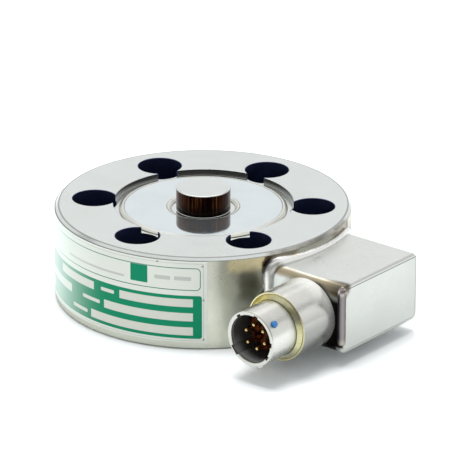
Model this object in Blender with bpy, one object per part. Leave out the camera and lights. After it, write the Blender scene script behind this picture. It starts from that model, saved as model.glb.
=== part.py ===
"""Low-profile compression force sensor with a welded junction box and a round receptacle.

Metres, +Z up. The origin is the centre of the ring's base, +Z is the load axis,
+X points out through the junction box and -Y is the way the receptacle faces.
"""

import math

import bmesh
import bpy
from mathutils import Matrix, Vector

# Clearance between pieces that seat on or in each other, and under the plate glued to the side
SEAT_GAP = 0.0003
LABEL_GAP = 0.00015

# How far a cutter reaches past the face it opens
CUT_OVER = 0.001

# Facets of the round pieces
BODY_SEGMENTS = 80
CAVITY_SEGMENTS = 56
HOLE_SEGMENTS = 28
PORT_SEGMENTS = 40
CONNECTOR_SEGMENTS = 48
INSERT_SEGMENTS = 32
SPOOL_SEGMENTS = 16
CONTACT_SEGMENTS = 12
FILLET_STEPS = 2
FOLD_STEPS = 4
WELD_STEPS = 3
WINDOW_ARC_STEPS = 5
WINDOW_CAP_STEPS = 4

# Ring and load button, turned from one bar
BODY_R = 0.0395
BODY_H = 0.0257
RIM_CHAMFER = 0.0008
BASE_CHAMFER = 0.0004
RECESS_DEPTH = 0.0017
BUTTON_R = 0.00725
BUTTON_RISE = 0.0044
BUTTON_CHAMFER = 0.00035
BUTTON_FOOT_FILLET = 0.0003

# Web between hub and ring, with a pocket above and below
HUB_R = 0.0110
CAVITY_R = 0.0200
LOWER_POCKET_H = 0.0115
WEB_THICKNESS = 0.0040
WEB_FILLET = 0.0010

# Through holes for the mounting screws: they fill the ring, less a wall on each side
HOLE_COUNT = 6
HOLE_INNER_WALL = 0.0033
HOLE_OUTER_WALL = 0.0043
HOLE_START_DEG = 33.5
HOLE_CHAMFER = 0.00025

# Kidney windows that leave the beams of the web
BEAM_COUNT = 4
WINDOW_W = 0.0056
WINDOW_SPAN_DEG = 44.0

# Welded membrane over the gauge cavity, and how far it laps the ring and the hub
MEMBRANE_OUTER_LAP = 0.0011
MEMBRANE_INNER_LAP = 0.0012
MEMBRANE_DROP = 0.00105
MEMBRANE_THICKNESS = 0.00035
LEDGE_W = 0.0030
OUTER_WELD_W = 0.0011
INNER_WELD_W = 0.0010
WELD_CROWN = 0.00010
WELD_SWELL = 0.15

# Solder board and cover in the lower pocket
BOARD_LAP = 0.0006
BOARD_HUB_CLEARANCE = 0.0015
BOARD_THICKNESS = 0.0012
BOARD_HEIGHT = 0.0035
COVER_LAP = 0.0011
COVER_THICKNESS = 0.0012
COVER_RECESS = 0.0003
COVER_RIB_R = 0.0060
COVER_RIB_H = 0.00015
COVER_RIB_W = 0.0004

# Strain gauges, their leads and the trimming resistors
GAUGE_LENGTH = 0.0042
GAUGE_WIDTH = 0.0030
GAUGE_THICKNESS = 0.00015
LEAD_D = 0.0005
LEAD_START_DEG = 4.0
LEAD_END_DEG = 16.0
LEAD_POINTS = 8
RESISTOR_COUNT = 3
RESISTOR_LENGTH = 0.0060
RESISTOR_R = 0.0012
RESISTOR_FLANGE_R = 0.0016
RESISTOR_FLANGE_W = 0.0006
RESISTOR_MIDDLE_DEG = 210.0
RESISTOR_SPACING_DEG = 60.0

# Drilled passage from the lower pocket to the junction box
PASSAGE_D = 0.0060

# Junction box of welded sheet steel, placed from the ring's side and top
BOX_REACH = 0.0209
BOX_DROP = 0.0033
BOX_HEIGHT = 0.0190
BOX_WIDTH = 0.0321
BOX_SHIFT = 0.00085
BOX_WALL = 0.0010
BOX_FOLD_R = 0.0024
BOX_EDGE_R = 0.0012
BOX_RIM_BEVEL = 0.0006
END_PLATE_THICKNESS = 0.0012
END_PLATE_BEVEL = 0.0002
BOX_BEAD_D = 0.0016

# Receptacle, placed from the box's end and top; it looks along -Y
CONNECTOR_INSET = 0.01175
CONNECTOR_DROP = 0.0098
SLEEVE_WALL = 0.00075
SLEEVE_LEDGE_W = 0.0014
SLEEVE_LENGTH = 0.0124
SLEEVE_RIM = 0.0002
SHELL_D = 0.0151
SHELL_WALL = 0.00115
SHELL_REACH = 0.0104
SHELL_SINK = 0.0040
SHELL_LIP_W = 0.0010
SHELL_LIP_T = 0.0007
SHELL_RIM = 0.00025
RING_W = 0.00045
RING_SINK = 0.0016
RING_RISE = 0.0012
INSERT_DEPTH = 0.0074
INSERT_CHAMFER = 0.0004

# Keyways: angle from the main one, counter-clockwise seen from the mouth
MAIN_KEYWAY_DEG = 220.0
KEYWAY_OFFSETS_DEG = (0.0, 105.0, 140.0, 215.0, 265.0)
MAIN_KEYWAY_W = 0.0028
KEYWAY_W = 0.0013
KEYWAY_DEPTH = 0.0006

# Bayonet studs in blind holes, the first one opposite the main keyway
STUD_COUNT = 3
STUD_D = 0.0017
STUD_RISE = 0.0008
STUD_SETBACK = 0.0024
STUD_SINK = 0.0004

# Contacts
CONTACT_COUNT = 6
CONTACT_CIRCLE_R = 0.00323
CONTACT_D = 0.0010
CONTACT_DEPTH = 0.00175
CUP_D = 0.0015
CUP_BORE_D = 0.0010
CUP_LENGTH = 0.0026
CUP_DEPTH = 0.0018

# Signal wires: straight run behind the contacts, swing round the corner, bundle and solder pads
WIRE_D = 0.0008
WIRE_POINTS = 18
WIRE_STRAIGHT = 0.0050
WIRE_SWING = 0.0012
BUNDLE_SCALE = 0.45
BUNDLE_LEAD_IN = 0.0050
PAD_INSET = 0.0018
PAD_PITCH = 0.0019
PAD_SPREAD = 2.6

# Name plate wrapped round the side
PLATE_TOP_MARGIN = 0.0009
PLATE_BOTTOM_MARGIN = 0.0021
PLATE_THICKNESS = 0.00025
PLATE_RIGHT_DEG = -48.9
PLATE_SPAN_DEG = 110.0
PLATE_SEGMENTS = 40

# Heights that follow from the sizes above
LEDGE_Z = BODY_H - RECESS_DEPTH
MEMBRANE_TOP = BODY_H - MEMBRANE_DROP
MEMBRANE_BOTTOM = MEMBRANE_TOP - MEMBRANE_THICKNESS
COVER_TOP = COVER_RECESS + COVER_THICKNESS
COVER_SEAT_Z = COVER_TOP + SEAT_GAP
WEB_BOTTOM = COVER_TOP + LOWER_POCKET_H
WEB_TOP = WEB_BOTTOM + WEB_THICKNESS
BOARD_TOP = BOARD_HEIGHT + BOARD_THICKNESS
BOARD_SEAT_Z = BOARD_TOP + SEAT_GAP
BOX_TOP = BODY_H - BOX_DROP
BOX_BOTTOM = BOX_TOP - BOX_HEIGHT
PASSAGE_Z = (max(BOARD_TOP, BOX_BOTTOM + BOX_WALL) + WEB_BOTTOM) / 2
BOX_MIDDLE_Y = -BOX_SHIFT
BOX_MIDDLE_Z = BOX_TOP - BOX_HEIGHT / 2
CONNECTOR_Z = BOX_TOP - CONNECTOR_DROP
PLATE_TOP = BODY_H - PLATE_TOP_MARGIN

# Radii that follow
HOLE_D = BODY_R - HOLE_OUTER_WALL - HOLE_INNER_WALL - CAVITY_R
HOLE_PCD = 2 * (CAVITY_R + HOLE_INNER_WALL) + HOLE_D
WINDOW_R = (HUB_R + CAVITY_R) / 2
MEMBRANE_R = CAVITY_R + MEMBRANE_OUTER_LAP
MEMBRANE_BORE_R = HUB_R - MEMBRANE_INNER_LAP
RECESS_R = MEMBRANE_R + LEDGE_W
BOARD_R = CAVITY_R + BOARD_LAP
BOARD_BORE_R = HUB_R + BOARD_HUB_CLEARANCE
BOARD_MIDDLE_R = (BOARD_R + BOARD_BORE_R) / 2
COVER_R = BOARD_R + COVER_LAP
SHELL_R = SHELL_D / 2
SHELL_BORE_R = SHELL_R - SHELL_WALL
INSERT_R = SHELL_BORE_R - SEAT_GAP
SLEEVE_BORE_R = SHELL_R + SEAT_GAP + RING_W + SEAT_GAP
SLEEVE_R = SLEEVE_BORE_R + SLEEVE_WALL
BOX_PORT_R = SLEEVE_BORE_R - SLEEVE_LEDGE_W

# Places of the box and of the receptacle; depths along the receptacle are measured towards -Y
BOX_END_X = BODY_R + BOX_REACH
BOX_BACK_Y = BOX_WIDTH / 2 - BOX_SHIFT
BOX_FRONT_Y = -BOX_WIDTH / 2 - BOX_SHIFT
CONNECTOR_X = BOX_END_X - CONNECTOR_INSET
SLEEVE_BACK = -BOX_FRONT_Y + SEAT_GAP
SLEEVE_MOUTH = SLEEVE_BACK + SLEEVE_LENGTH
SHELL_MOUTH = SLEEVE_MOUTH + SHELL_REACH
SHELL_BACK = SLEEVE_BACK + SHELL_SINK
RING_BACK = SLEEVE_MOUTH - RING_SINK
SHELL_FLANGE_FRONT = RING_BACK - SEAT_GAP
INSERT_FACE = SHELL_MOUTH - INSERT_DEPTH
INSERT_BACK = SHELL_BACK + SHELL_LIP_T + SEAT_GAP
CONTACT_TIP = SHELL_MOUTH - CONTACT_DEPTH
CUP_BACK = SHELL_BACK - CUP_LENGTH
CONTACT_START_DEG = MAIN_KEYWAY_DEG - 180.0


def clear_scene():
    for obj in list(bpy.data.objects):
        bpy.data.objects.remove(obj, do_unlink=True)


def material(name, colour, roughness, metallic):
    mat = bpy.data.materials.new(name)
    mat.use_nodes = True
    shader = mat.node_tree.nodes["Principled BSDF"]
    shader.inputs["Base Color"].default_value = (*colour, 1.0)
    shader.inputs["Roughness"].default_value = roughness
    shader.inputs["Metallic"].default_value = metallic
    mat.diffuse_color = (*colour, 1.0)
    return mat


def finish(name, bm, mat=None, smooth_deg=32.0):
    """Turn a bmesh into an object whose round faces are smooth."""
    bmesh.ops.remove_doubles(bm, verts=bm.verts, dist=1e-6)
    bmesh.ops.recalc_face_normals(bm, faces=bm.faces)
    mesh = bpy.data.meshes.new(name)
    bm.to_mesh(mesh)
    bm.free()
    mesh.shade_smooth()
    mesh.set_sharp_from_angle(angle=math.radians(smooth_deg))
    obj = bpy.data.objects.new(name, mesh)
    bpy.context.scene.collection.objects.link(obj)
    if mat:
        obj.data.materials.append(mat)
    return obj


def helper(obj):
    obj.hide_render = True
    obj.display_type = "WIRE"
    return obj


def cut(obj, cutter, label):
    modifier = obj.modifiers.new(label, "BOOLEAN")
    modifier.operation = "DIFFERENCE"
    modifier.object = cutter


def polar(radius, degrees, z=0.0):
    angle = math.radians(degrees)
    return Vector((radius * math.cos(angle), radius * math.sin(angle), z))


def turn_profile(bm, profile, segments, matrix=Matrix.Identity(4)):
    """Spin a profile of (radius, height) points round Z. Ends on the axis close the solid."""
    on_axis = profile[0][0] == 0.0 and profile[-1][0] == 0.0
    verts = [bm.verts.new((r, 0.0, z)) for r, z in profile]
    edges = [bm.edges.new(pair) for pair in zip(verts, verts[1:])]
    if not on_axis:
        edges.append(bm.edges.new((verts[-1], verts[0])))
    bmesh.ops.spin(
        bm,
        geom=verts + edges,
        cent=(0.0, 0.0, 0.0),
        axis=(0.0, 0.0, 1.0),
        angle=math.tau,
        steps=segments,
    )
    bmesh.ops.remove_doubles(bm, verts=bm.verts, dist=1e-6)
    made = [v for v in bm.verts if not v.tag]
    bmesh.ops.transform(bm, matrix=matrix, verts=made)
    for vert in made:
        vert.tag = True


def turned(name, profile, mat=None, segments=48):
    bm = bmesh.new()
    turn_profile(bm, profile, segments)
    return finish(name, bm, mat)


def arc(centre_r, centre_z, radius, start_deg, end_deg, steps=FILLET_STEPS):
    """Profile points of a round corner about (centre_r, centre_z)."""
    points = []
    for step in range(steps + 1):
        angle = math.radians(start_deg + (end_deg - start_deg) * step / steps)
        points.append((centre_r + radius * math.cos(angle), centre_z + radius * math.sin(angle)))
    return points


def to_connector(obj):
    """Turn a piece made along +Z so that it lies on the receptacle's axis, facing -Y."""
    obj.location = (CONNECTOR_X, 0.0, CONNECTOR_Z)
    obj.rotation_euler = (math.radians(90.0), 0.0, 0.0)
    return obj


def tube_curve(name, points, diameter, mat, cyclic=False):
    curve = bpy.data.curves.new(name, "CURVE")
    curve.dimensions = "3D"
    curve.bevel_depth = diameter / 2
    curve.bevel_resolution = 1
    curve.use_fill_caps = not cyclic
    spline = curve.splines.new("POLY")
    spline.points.add(len(points) - 1)
    for target, point in zip(spline.points, points):
        target.co = (*point, 1.0)
    spline.use_cyclic_u = cyclic
    obj = bpy.data.objects.new(name, curve)
    bpy.context.scene.collection.objects.link(obj)
    obj.data.materials.append(mat)
    return obj


def smooth_route(stations, count):
    """Points along a Catmull-Rom curve through the stations."""
    ends = [2 * stations[0] - stations[1], *stations, 2 * stations[-1] - stations[-2]]
    spans = len(stations) - 1
    route = []
    for index in range(count + 1):
        place = spans * index / count
        span = min(int(place), spans - 1)
        t = place - span
        p0, p1, p2, p3 = ends[span : span + 4]
        route.append(
            0.5
            * (
                2 * p1
                + (p2 - p0) * t
                + (2 * p0 - 5 * p1 + 4 * p2 - p3) * t**2
                + (3 * p1 - p0 - 3 * p2 + p3) * t**3
            )
        )
    return route


def body_profile():
    """Half section of the outside, from the button's top to the middle of the base."""
    button_top = BODY_H + BUTTON_RISE
    return [
        (0.0, button_top),
        (BUTTON_R - BUTTON_CHAMFER, button_top),
        (BUTTON_R, button_top - BUTTON_CHAMFER),
        (BUTTON_R, LEDGE_Z + BUTTON_FOOT_FILLET),
        (BUTTON_R + BUTTON_FOOT_FILLET, LEDGE_Z),
        (RECESS_R, LEDGE_Z),
        (RECESS_R, BODY_H),
        (BODY_R - RIM_CHAMFER, BODY_H),
        (BODY_R, BODY_H - RIM_CHAMFER),
        (BODY_R, BASE_CHAMFER),
        (BODY_R - BASE_CHAMFER, 0.0),
        (0.0, 0.0),
    ]


def upper_cavity_cutter():
    """Ring-shaped pocket over the web, which the membrane closes."""
    inner = HUB_R + WEB_FILLET
    outer = CAVITY_R - WEB_FILLET
    floor = WEB_TOP + WEB_FILLET
    above = LEDGE_Z + MEMBRANE_THICKNESS
    profile = [(HUB_R, above), (CAVITY_R, above)]
    profile += arc(outer, floor, WEB_FILLET, 0.0, -90.0)
    profile += arc(inner, floor, WEB_FILLET, 270.0, 180.0)
    return helper(turned("upper_cavity_cutter", profile, segments=CAVITY_SEGMENTS))


def lower_cavity_cutter():
    """Ring-shaped pocket under the web, with the seats of the board and of the cover."""
    inner = HUB_R + WEB_FILLET
    outer = CAVITY_R - WEB_FILLET
    roof = WEB_BOTTOM - WEB_FILLET
    hub_foot = COVER_SEAT_Z
    profile = [(0.0, hub_foot), (HUB_R - BASE_CHAMFER, hub_foot), (HUB_R, hub_foot + BASE_CHAMFER)]
    profile += arc(inner, roof, WEB_FILLET, 180.0, 90.0)
    profile += arc(outer, roof, WEB_FILLET, 90.0, 0.0)
    profile += [
        (CAVITY_R, BOARD_SEAT_Z),
        (BOARD_R + SEAT_GAP, BOARD_SEAT_Z),
        (BOARD_R + SEAT_GAP, COVER_SEAT_Z),
        (COVER_R + SEAT_GAP, COVER_SEAT_Z),
        (COVER_R + SEAT_GAP, -SEAT_GAP),
        (0.0, -SEAT_GAP),
    ]
    return helper(turned("lower_cavity_cutter", profile, segments=CAVITY_SEGMENTS))


def screw_hole_cutter():
    """Six drills with a countersunk chamfer at both faces."""
    bm = bmesh.new()
    r = HOLE_D / 2
    flare = r + HOLE_CHAMFER
    profile = [
        (0.0, BODY_H + CUT_OVER),
        (flare + CUT_OVER, BODY_H + CUT_OVER),
        (flare, BODY_H),
        (r, BODY_H - HOLE_CHAMFER),
        (r, HOLE_CHAMFER),
        (flare, 0.0),
        (flare + CUT_OVER, -CUT_OVER),
        (0.0, -CUT_OVER),
    ]
    for index in range(HOLE_COUNT):
        centre = polar(HOLE_PCD / 2, HOLE_START_DEG + index * 360.0 / HOLE_COUNT)
        turn_profile(bm, profile, HOLE_SEGMENTS, Matrix.Translation(centre))
    return helper(finish("screw_hole_cutter", bm))


def window_cutter():
    """Kidney slots between the beams of the web."""
    bm = bmesh.new()
    half = WINDOW_W / 2
    pitch = 360.0 / BEAM_COUNT
    for index in range(BEAM_COUNT):
        middle = (index + 0.5) * pitch
        start = middle - WINDOW_SPAN_DEG / 2
        end = middle + WINDOW_SPAN_DEG / 2
        outline = []
        for step in range(WINDOW_ARC_STEPS + 1):
            outline.append(polar(WINDOW_R + half, start + WINDOW_SPAN_DEG * step / WINDOW_ARC_STEPS))
        for step in range(1, WINDOW_CAP_STEPS):
            turn = 180.0 * step / WINDOW_CAP_STEPS
            outline.append(polar(WINDOW_R, end) + polar(half, end + turn))
        for step in range(WINDOW_ARC_STEPS + 1):
            outline.append(polar(WINDOW_R - half, end - WINDOW_SPAN_DEG * step / WINDOW_ARC_STEPS))
        for step in range(1, WINDOW_CAP_STEPS):
            turn = 180.0 * (1 + step / WINDOW_CAP_STEPS)
            outline.append(polar(WINDOW_R, start) + polar(half, start + turn))
        verts = [bm.verts.new(p + Vector((0.0, 0.0, WEB_BOTTOM - WEB_THICKNESS))) for p in outline]
        face = bm.faces.new(verts)
        grown = bmesh.ops.extrude_face_region(bm, geom=[face])
        risen = [v for v in grown["geom"] if isinstance(v, bmesh.types.BMVert)]
        bmesh.ops.translate(bm, vec=(0.0, 0.0, 3 * WEB_THICKNESS), verts=risen)
    return helper(finish("window_cutter", bm))


def rod_cutter(name, radius, start, end, segments=32):
    """Plain round cutter between two points."""
    axis = end - start
    bm = bmesh.new()
    turn = axis.to_track_quat("Z", "Y").to_matrix().to_4x4()
    bmesh.ops.create_cone(
        bm,
        cap_ends=True,
        segments=segments,
        radius1=radius,
        radius2=radius,
        depth=axis.length,
        matrix=Matrix.Translation((start + end) / 2) @ turn,
    )
    return helper(finish(name, bm))


def build_body(mat):
    body = turned("sensor_body", body_profile(), mat, BODY_SEGMENTS)
    cut(body, upper_cavity_cutter(), "upper cavity")
    cut(body, lower_cavity_cutter(), "lower cavity")
    cut(body, screw_hole_cutter(), "screw holes")
    cut(body, window_cutter(), "web windows")
    passage = rod_cutter(
        "passage_cutter",
        PASSAGE_D / 2,
        Vector((CAVITY_R - WINDOW_W / 2, 0.0, PASSAGE_Z)),
        Vector((BODY_R + SEAT_GAP + BOX_WALL, 0.0, PASSAGE_Z)),
    )
    cut(body, passage, "wire passage")


def build_membrane(mat, weld_mat):
    turned(
        "top_membrane",
        [
            (MEMBRANE_BORE_R, MEMBRANE_TOP),
            (MEMBRANE_R, MEMBRANE_TOP),
            (MEMBRANE_R, MEMBRANE_BOTTOM),
            (MEMBRANE_BORE_R, MEMBRANE_BOTTOM),
        ],
        mat,
        CAVITY_SEGMENTS,
    )
    weld_ring("membrane_outer_weld", MEMBRANE_R + SEAT_GAP, OUTER_WELD_W, weld_mat)
    weld_ring("membrane_inner_weld", MEMBRANE_BORE_R - SEAT_GAP, -INNER_WELD_W, weld_mat)


def weld_ring(name, edge_r, width, mat):
    """Fillet weld from the membrane's edge down to the shoulder that carries it."""
    floor = LEDGE_Z + SEAT_GAP
    crown = MEMBRANE_TOP + WELD_CROWN
    profile = [(edge_r, floor)]
    for step in range(WELD_STEPS + 1):
        t = step / WELD_STEPS
        swell = math.sin(math.pi * t) * WELD_SWELL
        profile.append((edge_r + width * t, floor + (crown - floor) * (1.0 - t * t + swell)))
    profile[-1] = (edge_r + width, floor + WELD_CROWN)
    profile.append((edge_r + width, floor))
    turned(name, profile, mat, CAVITY_SEGMENTS)


def build_cover(mat):
    """Disc pressed into the base, with a turned rib round its middle."""
    rib = COVER_RECESS - COVER_RIB_H
    turned(
        "bottom_cover",
        [
            (0.0, COVER_TOP),
            (COVER_R, COVER_TOP),
            (COVER_R, COVER_RECESS),
            (COVER_RIB_R + 1.5 * COVER_RIB_W, COVER_RECESS),
            (COVER_RIB_R + COVER_RIB_W / 2, rib),
            (COVER_RIB_R - COVER_RIB_W / 2, rib),
            (COVER_RIB_R - 1.5 * COVER_RIB_W, COVER_RECESS),
            (0.0, COVER_RECESS),
        ],
        mat,
        CAVITY_SEGMENTS,
    )


def build_board(mat):
    turned(
        "terminal_board",
        [
            (BOARD_BORE_R, BOARD_TOP),
            (BOARD_R, BOARD_TOP),
            (BOARD_R, BOARD_HEIGHT),
            (BOARD_BORE_R, BOARD_HEIGHT),
        ],
        mat,
        CAVITY_SEGMENTS,
    )


def build_gauge(index, gauge_mat, lead_mat):
    """One foil gauge under a beam, and the lead from its edge down to the board."""
    beam_deg = index * 360.0 / BEAM_COUNT
    top = WEB_BOTTOM - SEAT_GAP
    bm = bmesh.new()
    bmesh.ops.create_cube(bm, size=1.0)
    bmesh.ops.scale(bm, vec=(GAUGE_LENGTH, GAUGE_WIDTH, GAUGE_THICKNESS), verts=bm.verts)
    upright = [e for e in bm.edges if abs((e.verts[0].co - e.verts[1].co).z) > GAUGE_THICKNESS / 2]
    bmesh.ops.bevel(bm, geom=upright, offset=GAUGE_WIDTH / 6, segments=2, affect="EDGES")
    gauge = finish(f"strain_gauge_{index + 1}", bm, gauge_mat)
    gauge.location = polar(WINDOW_R, beam_deg, top - GAUGE_THICKNESS / 2)
    gauge.rotation_euler = (0.0, 0.0, math.radians(beam_deg))

    lead_r = WINDOW_R - GAUGE_LENGTH / 4
    leaving = top - GAUGE_THICKNESS - SEAT_GAP - LEAD_D / 2
    landing = BOARD_TOP + SEAT_GAP
    end_deg = beam_deg + LEAD_END_DEG
    route = smooth_route(
        [
            polar(lead_r, beam_deg + LEAD_START_DEG, leaving),
            polar(lead_r, end_deg - LEAD_START_DEG, (leaving + landing) / 2),
            polar(WINDOW_R, end_deg, landing + 2 * LEAD_D),
            polar(WINDOW_R, end_deg, landing),
        ],
        LEAD_POINTS,
    )
    tube_curve(f"gauge_lead_{index + 1}", route, LEAD_D, lead_mat)


def build_resistor(index, mat):
    """Wire-wound spool lying on the board, opposite the passage."""
    angle = RESISTOR_MIDDLE_DEG + (index - (RESISTOR_COUNT - 1) / 2) * RESISTOR_SPACING_DEG
    half = RESISTOR_LENGTH / 2
    inner = half - RESISTOR_FLANGE_W
    spool = turned(
        f"trim_resistor_{index + 1}",
        [
            (0.0, half),
            (RESISTOR_FLANGE_R, half),
            (RESISTOR_FLANGE_R, inner),
            (RESISTOR_R, inner),
            (RESISTOR_R, -inner),
            (RESISTOR_FLANGE_R, -inner),
            (RESISTOR_FLANGE_R, -half),
            (0.0, -half),
        ],
        mat,
        SPOOL_SEGMENTS,
    )
    spool.location = polar(BOARD_MIDDLE_R, angle, BOARD_TOP + SEAT_GAP + RESISTOR_FLANGE_R)
    spool.rotation_euler = (math.radians(90.0), 0.0, math.radians(angle))


def box_outline(inset):
    """Section of the junction box in Y and Z, with the large fold at the front top edge."""
    corners = [
        (BOX_FRONT_Y + inset, BOX_TOP - inset, BOX_FOLD_R, 180.0),
        (BOX_BACK_Y - inset, BOX_TOP - inset, BOX_EDGE_R, 90.0),
        (BOX_BACK_Y - inset, BOX_BOTTOM + inset, BOX_EDGE_R, 0.0),
        (BOX_FRONT_Y + inset, BOX_BOTTOM + inset, BOX_EDGE_R, -90.0),
    ]
    points = []
    for y, z, radius, start in corners:
        r = max(radius - inset, BOX_EDGE_R / 4)
        centre_y = y + math.copysign(r, BOX_MIDDLE_Y - y)
        centre_z = z + math.copysign(r, BOX_MIDDLE_Z - z)
        points += arc(centre_y, centre_z, r, start, start - 90.0, FOLD_STEPS)
    return points


def box_prism(bm, inset, start_x, end_x):
    """Extrude the box section along X. Returns the two end faces."""
    verts = [bm.verts.new((start_x, y, z)) for y, z in box_outline(inset)]
    near = bm.faces.new(verts)
    grown = bmesh.ops.extrude_face_region(bm, geom=[near])
    moved = [v for v in grown["geom"] if isinstance(v, bmesh.types.BMVert)]
    bmesh.ops.translate(bm, vec=(end_x - start_x, 0.0, 0.0), verts=moved)
    far = next(f for f in grown["geom"] if isinstance(f, bmesh.types.BMFace))
    return near, far


def build_box(mat, bead_mat):
    """Folded sheet box: a tube coped to the ring's side, with a port for the receptacle."""
    bm = bmesh.new()
    start_x = BODY_R / 2
    _, far = box_prism(bm, 0.0, start_x, BOX_END_X)
    bmesh.ops.bevel(bm, geom=list(far.edges), offset=BOX_RIM_BEVEL, segments=2, profile=0.5, affect="EDGES")
    shell = finish("box_shell", bm, mat)

    hollow = bmesh.new()
    box_prism(hollow, BOX_WALL, start_x - BOX_WALL, BOX_END_X + BOX_WALL)
    cut(shell, helper(finish("box_hollow_cutter", hollow)), "hollow")

    cope = rod_cutter(
        "box_cope_cutter",
        BODY_R + SEAT_GAP,
        Vector((0.0, 0.0, BOX_BOTTOM - BOX_WALL)),
        Vector((0.0, 0.0, BOX_TOP + BOX_WALL)),
        BODY_SEGMENTS,
    )
    cut(shell, cope, "cope")

    port = rod_cutter(
        "box_port_cutter",
        BOX_PORT_R,
        Vector((CONNECTOR_X, BOX_FRONT_Y - BOX_WALL, CONNECTOR_Z)),
        Vector((CONNECTOR_X, BOX_FRONT_Y + 2 * BOX_WALL, CONNECTOR_Z)),
        PORT_SEGMENTS,
    )
    cut(shell, port, "receptacle port")

    plate = bmesh.new()
    _, face = box_prism(plate, BOX_WALL + SEAT_GAP, BOX_END_X - END_PLATE_THICKNESS, BOX_END_X)
    bmesh.ops.bevel(plate, geom=list(face.edges), offset=END_PLATE_BEVEL, segments=1, affect="EDGES")
    finish("box_end_plate", plate, mat)

    offset = SEAT_GAP + BOX_BEAD_D / 2
    reach = BODY_R + offset
    seam = [Vector((math.sqrt(reach**2 - y**2), y, z)) for y, z in box_outline(-offset)]
    route = []
    for index, point in enumerate(seam):
        following = seam[(index + 1) % len(seam)]
        pieces = max(1, round((following - point).length / (2 * BOX_BEAD_D)))
        for step in range(pieces):
            between = point.lerp(following, step / pieces)
            between.x = math.sqrt(reach**2 - between.y**2)
            route.append(between)
    tube_curve("box_weld_bead", route, BOX_BEAD_D, bead_mat, cyclic=True)


def build_sleeve(mat):
    r = SLEEVE_BORE_R
    to_connector(
        turned(
            "connector_sleeve",
            [
                (r, SLEEVE_MOUTH - SLEEVE_RIM),
                (r + SLEEVE_RIM, SLEEVE_MOUTH),
                (SLEEVE_R - SLEEVE_RIM, SLEEVE_MOUTH),
                (SLEEVE_R, SLEEVE_MOUTH - SLEEVE_RIM),
                (SLEEVE_R, SLEEVE_BACK),
                (r, SLEEVE_BACK),
            ],
            mat,
            CONNECTOR_SEGMENTS,
        )
    )


def build_ring(mat):
    """Sealing ring that fills the sleeve's mouth and slopes up to the receptacle's barrel."""
    inner = SHELL_R + SEAT_GAP
    outer = SLEEVE_BORE_R - SEAT_GAP
    to_connector(
        turned(
            "connector_ring",
            [
                (inner, SLEEVE_MOUTH + RING_RISE),
                (inner + SLEEVE_RIM, SLEEVE_MOUTH + RING_RISE),
                (outer, SLEEVE_MOUTH),
                (outer, RING_BACK),
                (inner, RING_BACK),
            ],
            mat,
            CONNECTOR_SEGMENTS,
        )
    )


def shell_cutter():
    """Keyways in the bore and the blind holes of the bayonet studs, along the receptacle's own axis."""
    bm = bmesh.new()
    start = INSERT_FACE - KEYWAY_DEPTH
    end = SHELL_MOUTH + KEYWAY_DEPTH
    for index, offset in enumerate(KEYWAY_OFFSETS_DEG):
        width = MAIN_KEYWAY_W if index == 0 else KEYWAY_W
        inner = SHELL_BORE_R - 4 * KEYWAY_DEPTH
        outer = SHELL_BORE_R + KEYWAY_DEPTH
        matrix = (
            Matrix.Rotation(math.radians(MAIN_KEYWAY_DEG + offset), 4, "Z")
            @ Matrix.Translation(((inner + outer) / 2, 0.0, (start + end) / 2))
            @ Matrix.Diagonal((outer - inner, width, end - start, 1.0))
        )
        bmesh.ops.create_cube(bm, size=1.0, matrix=matrix)
    return to_connector(helper(finish("keyway_cutter", bm)))


def stud_angles():
    return [CONTACT_START_DEG + index * 360.0 / STUD_COUNT for index in range(STUD_COUNT)]


def stud_hole_cutter():
    bm = bmesh.new()
    floor = SHELL_R - STUD_SINK - SEAT_GAP / 2
    depth = 2 * STUD_RISE
    for angle in stud_angles():
        matrix = (
            Matrix.Rotation(math.radians(angle), 4, "Z")
            @ Matrix.Translation((floor + depth / 2, 0.0, SHELL_MOUTH - STUD_SETBACK))
            @ Matrix.Rotation(math.radians(90.0), 4, "Y")
        )
        bmesh.ops.create_cone(
            bm,
            cap_ends=True,
            segments=SPOOL_SEGMENTS,
            radius1=STUD_D / 2 + SEAT_GAP / 2,
            radius2=STUD_D / 2 + SEAT_GAP / 2,
            depth=depth,
            matrix=matrix,
        )
    return to_connector(helper(finish("stud_hole_cutter", bm)))


def build_shell(mat):
    """Receptacle barrel, its flange inside the sleeve and the lip that holds the insert."""
    flange_r = SLEEVE_BORE_R - SEAT_GAP
    shell = turned(
        "connector_shell",
        [
            (SHELL_BORE_R + SHELL_RIM, SHELL_MOUTH),
            (SHELL_R - SHELL_RIM, SHELL_MOUTH),
            (SHELL_R, SHELL_MOUTH - SHELL_RIM),
            (SHELL_R, SHELL_FLANGE_FRONT),
            (flange_r, SHELL_FLANGE_FRONT),
            (flange_r, SHELL_BACK),
            (SHELL_BORE_R - SHELL_LIP_W, SHELL_BACK),
            (SHELL_BORE_R - SHELL_LIP_W, SHELL_BACK + SHELL_LIP_T),
            (SHELL_BORE_R, SHELL_BACK + SHELL_LIP_T),
            (SHELL_BORE_R, SHELL_MOUTH - SHELL_RIM),
        ],
        mat,
        CONNECTOR_SEGMENTS,
    )
    to_connector(shell)
    cut(shell, shell_cutter(), "keyways")
    cut(shell, stud_hole_cutter(), "stud holes")


def build_stud(index, mat):
    half = STUD_D / 2
    base = SHELL_R - STUD_SINK
    top = SHELL_R + STUD_RISE
    bm = bmesh.new()
    profile = [
        (0.0, top),
        (half * 0.75, top),
        (half, top - half * 0.25),
        (half, base),
        (0.0, base),
    ]
    matrix = (
        Matrix.Rotation(math.radians(stud_angles()[index]), 4, "Z")
        @ Matrix.Translation((0.0, 0.0, SHELL_MOUTH - STUD_SETBACK))
        @ Matrix.Rotation(math.radians(90.0), 4, "Y")
    )
    turn_profile(bm, profile, SPOOL_SEGMENTS, matrix)
    to_connector(finish(f"bayonet_stud_{index + 1}", bm, mat))


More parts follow.
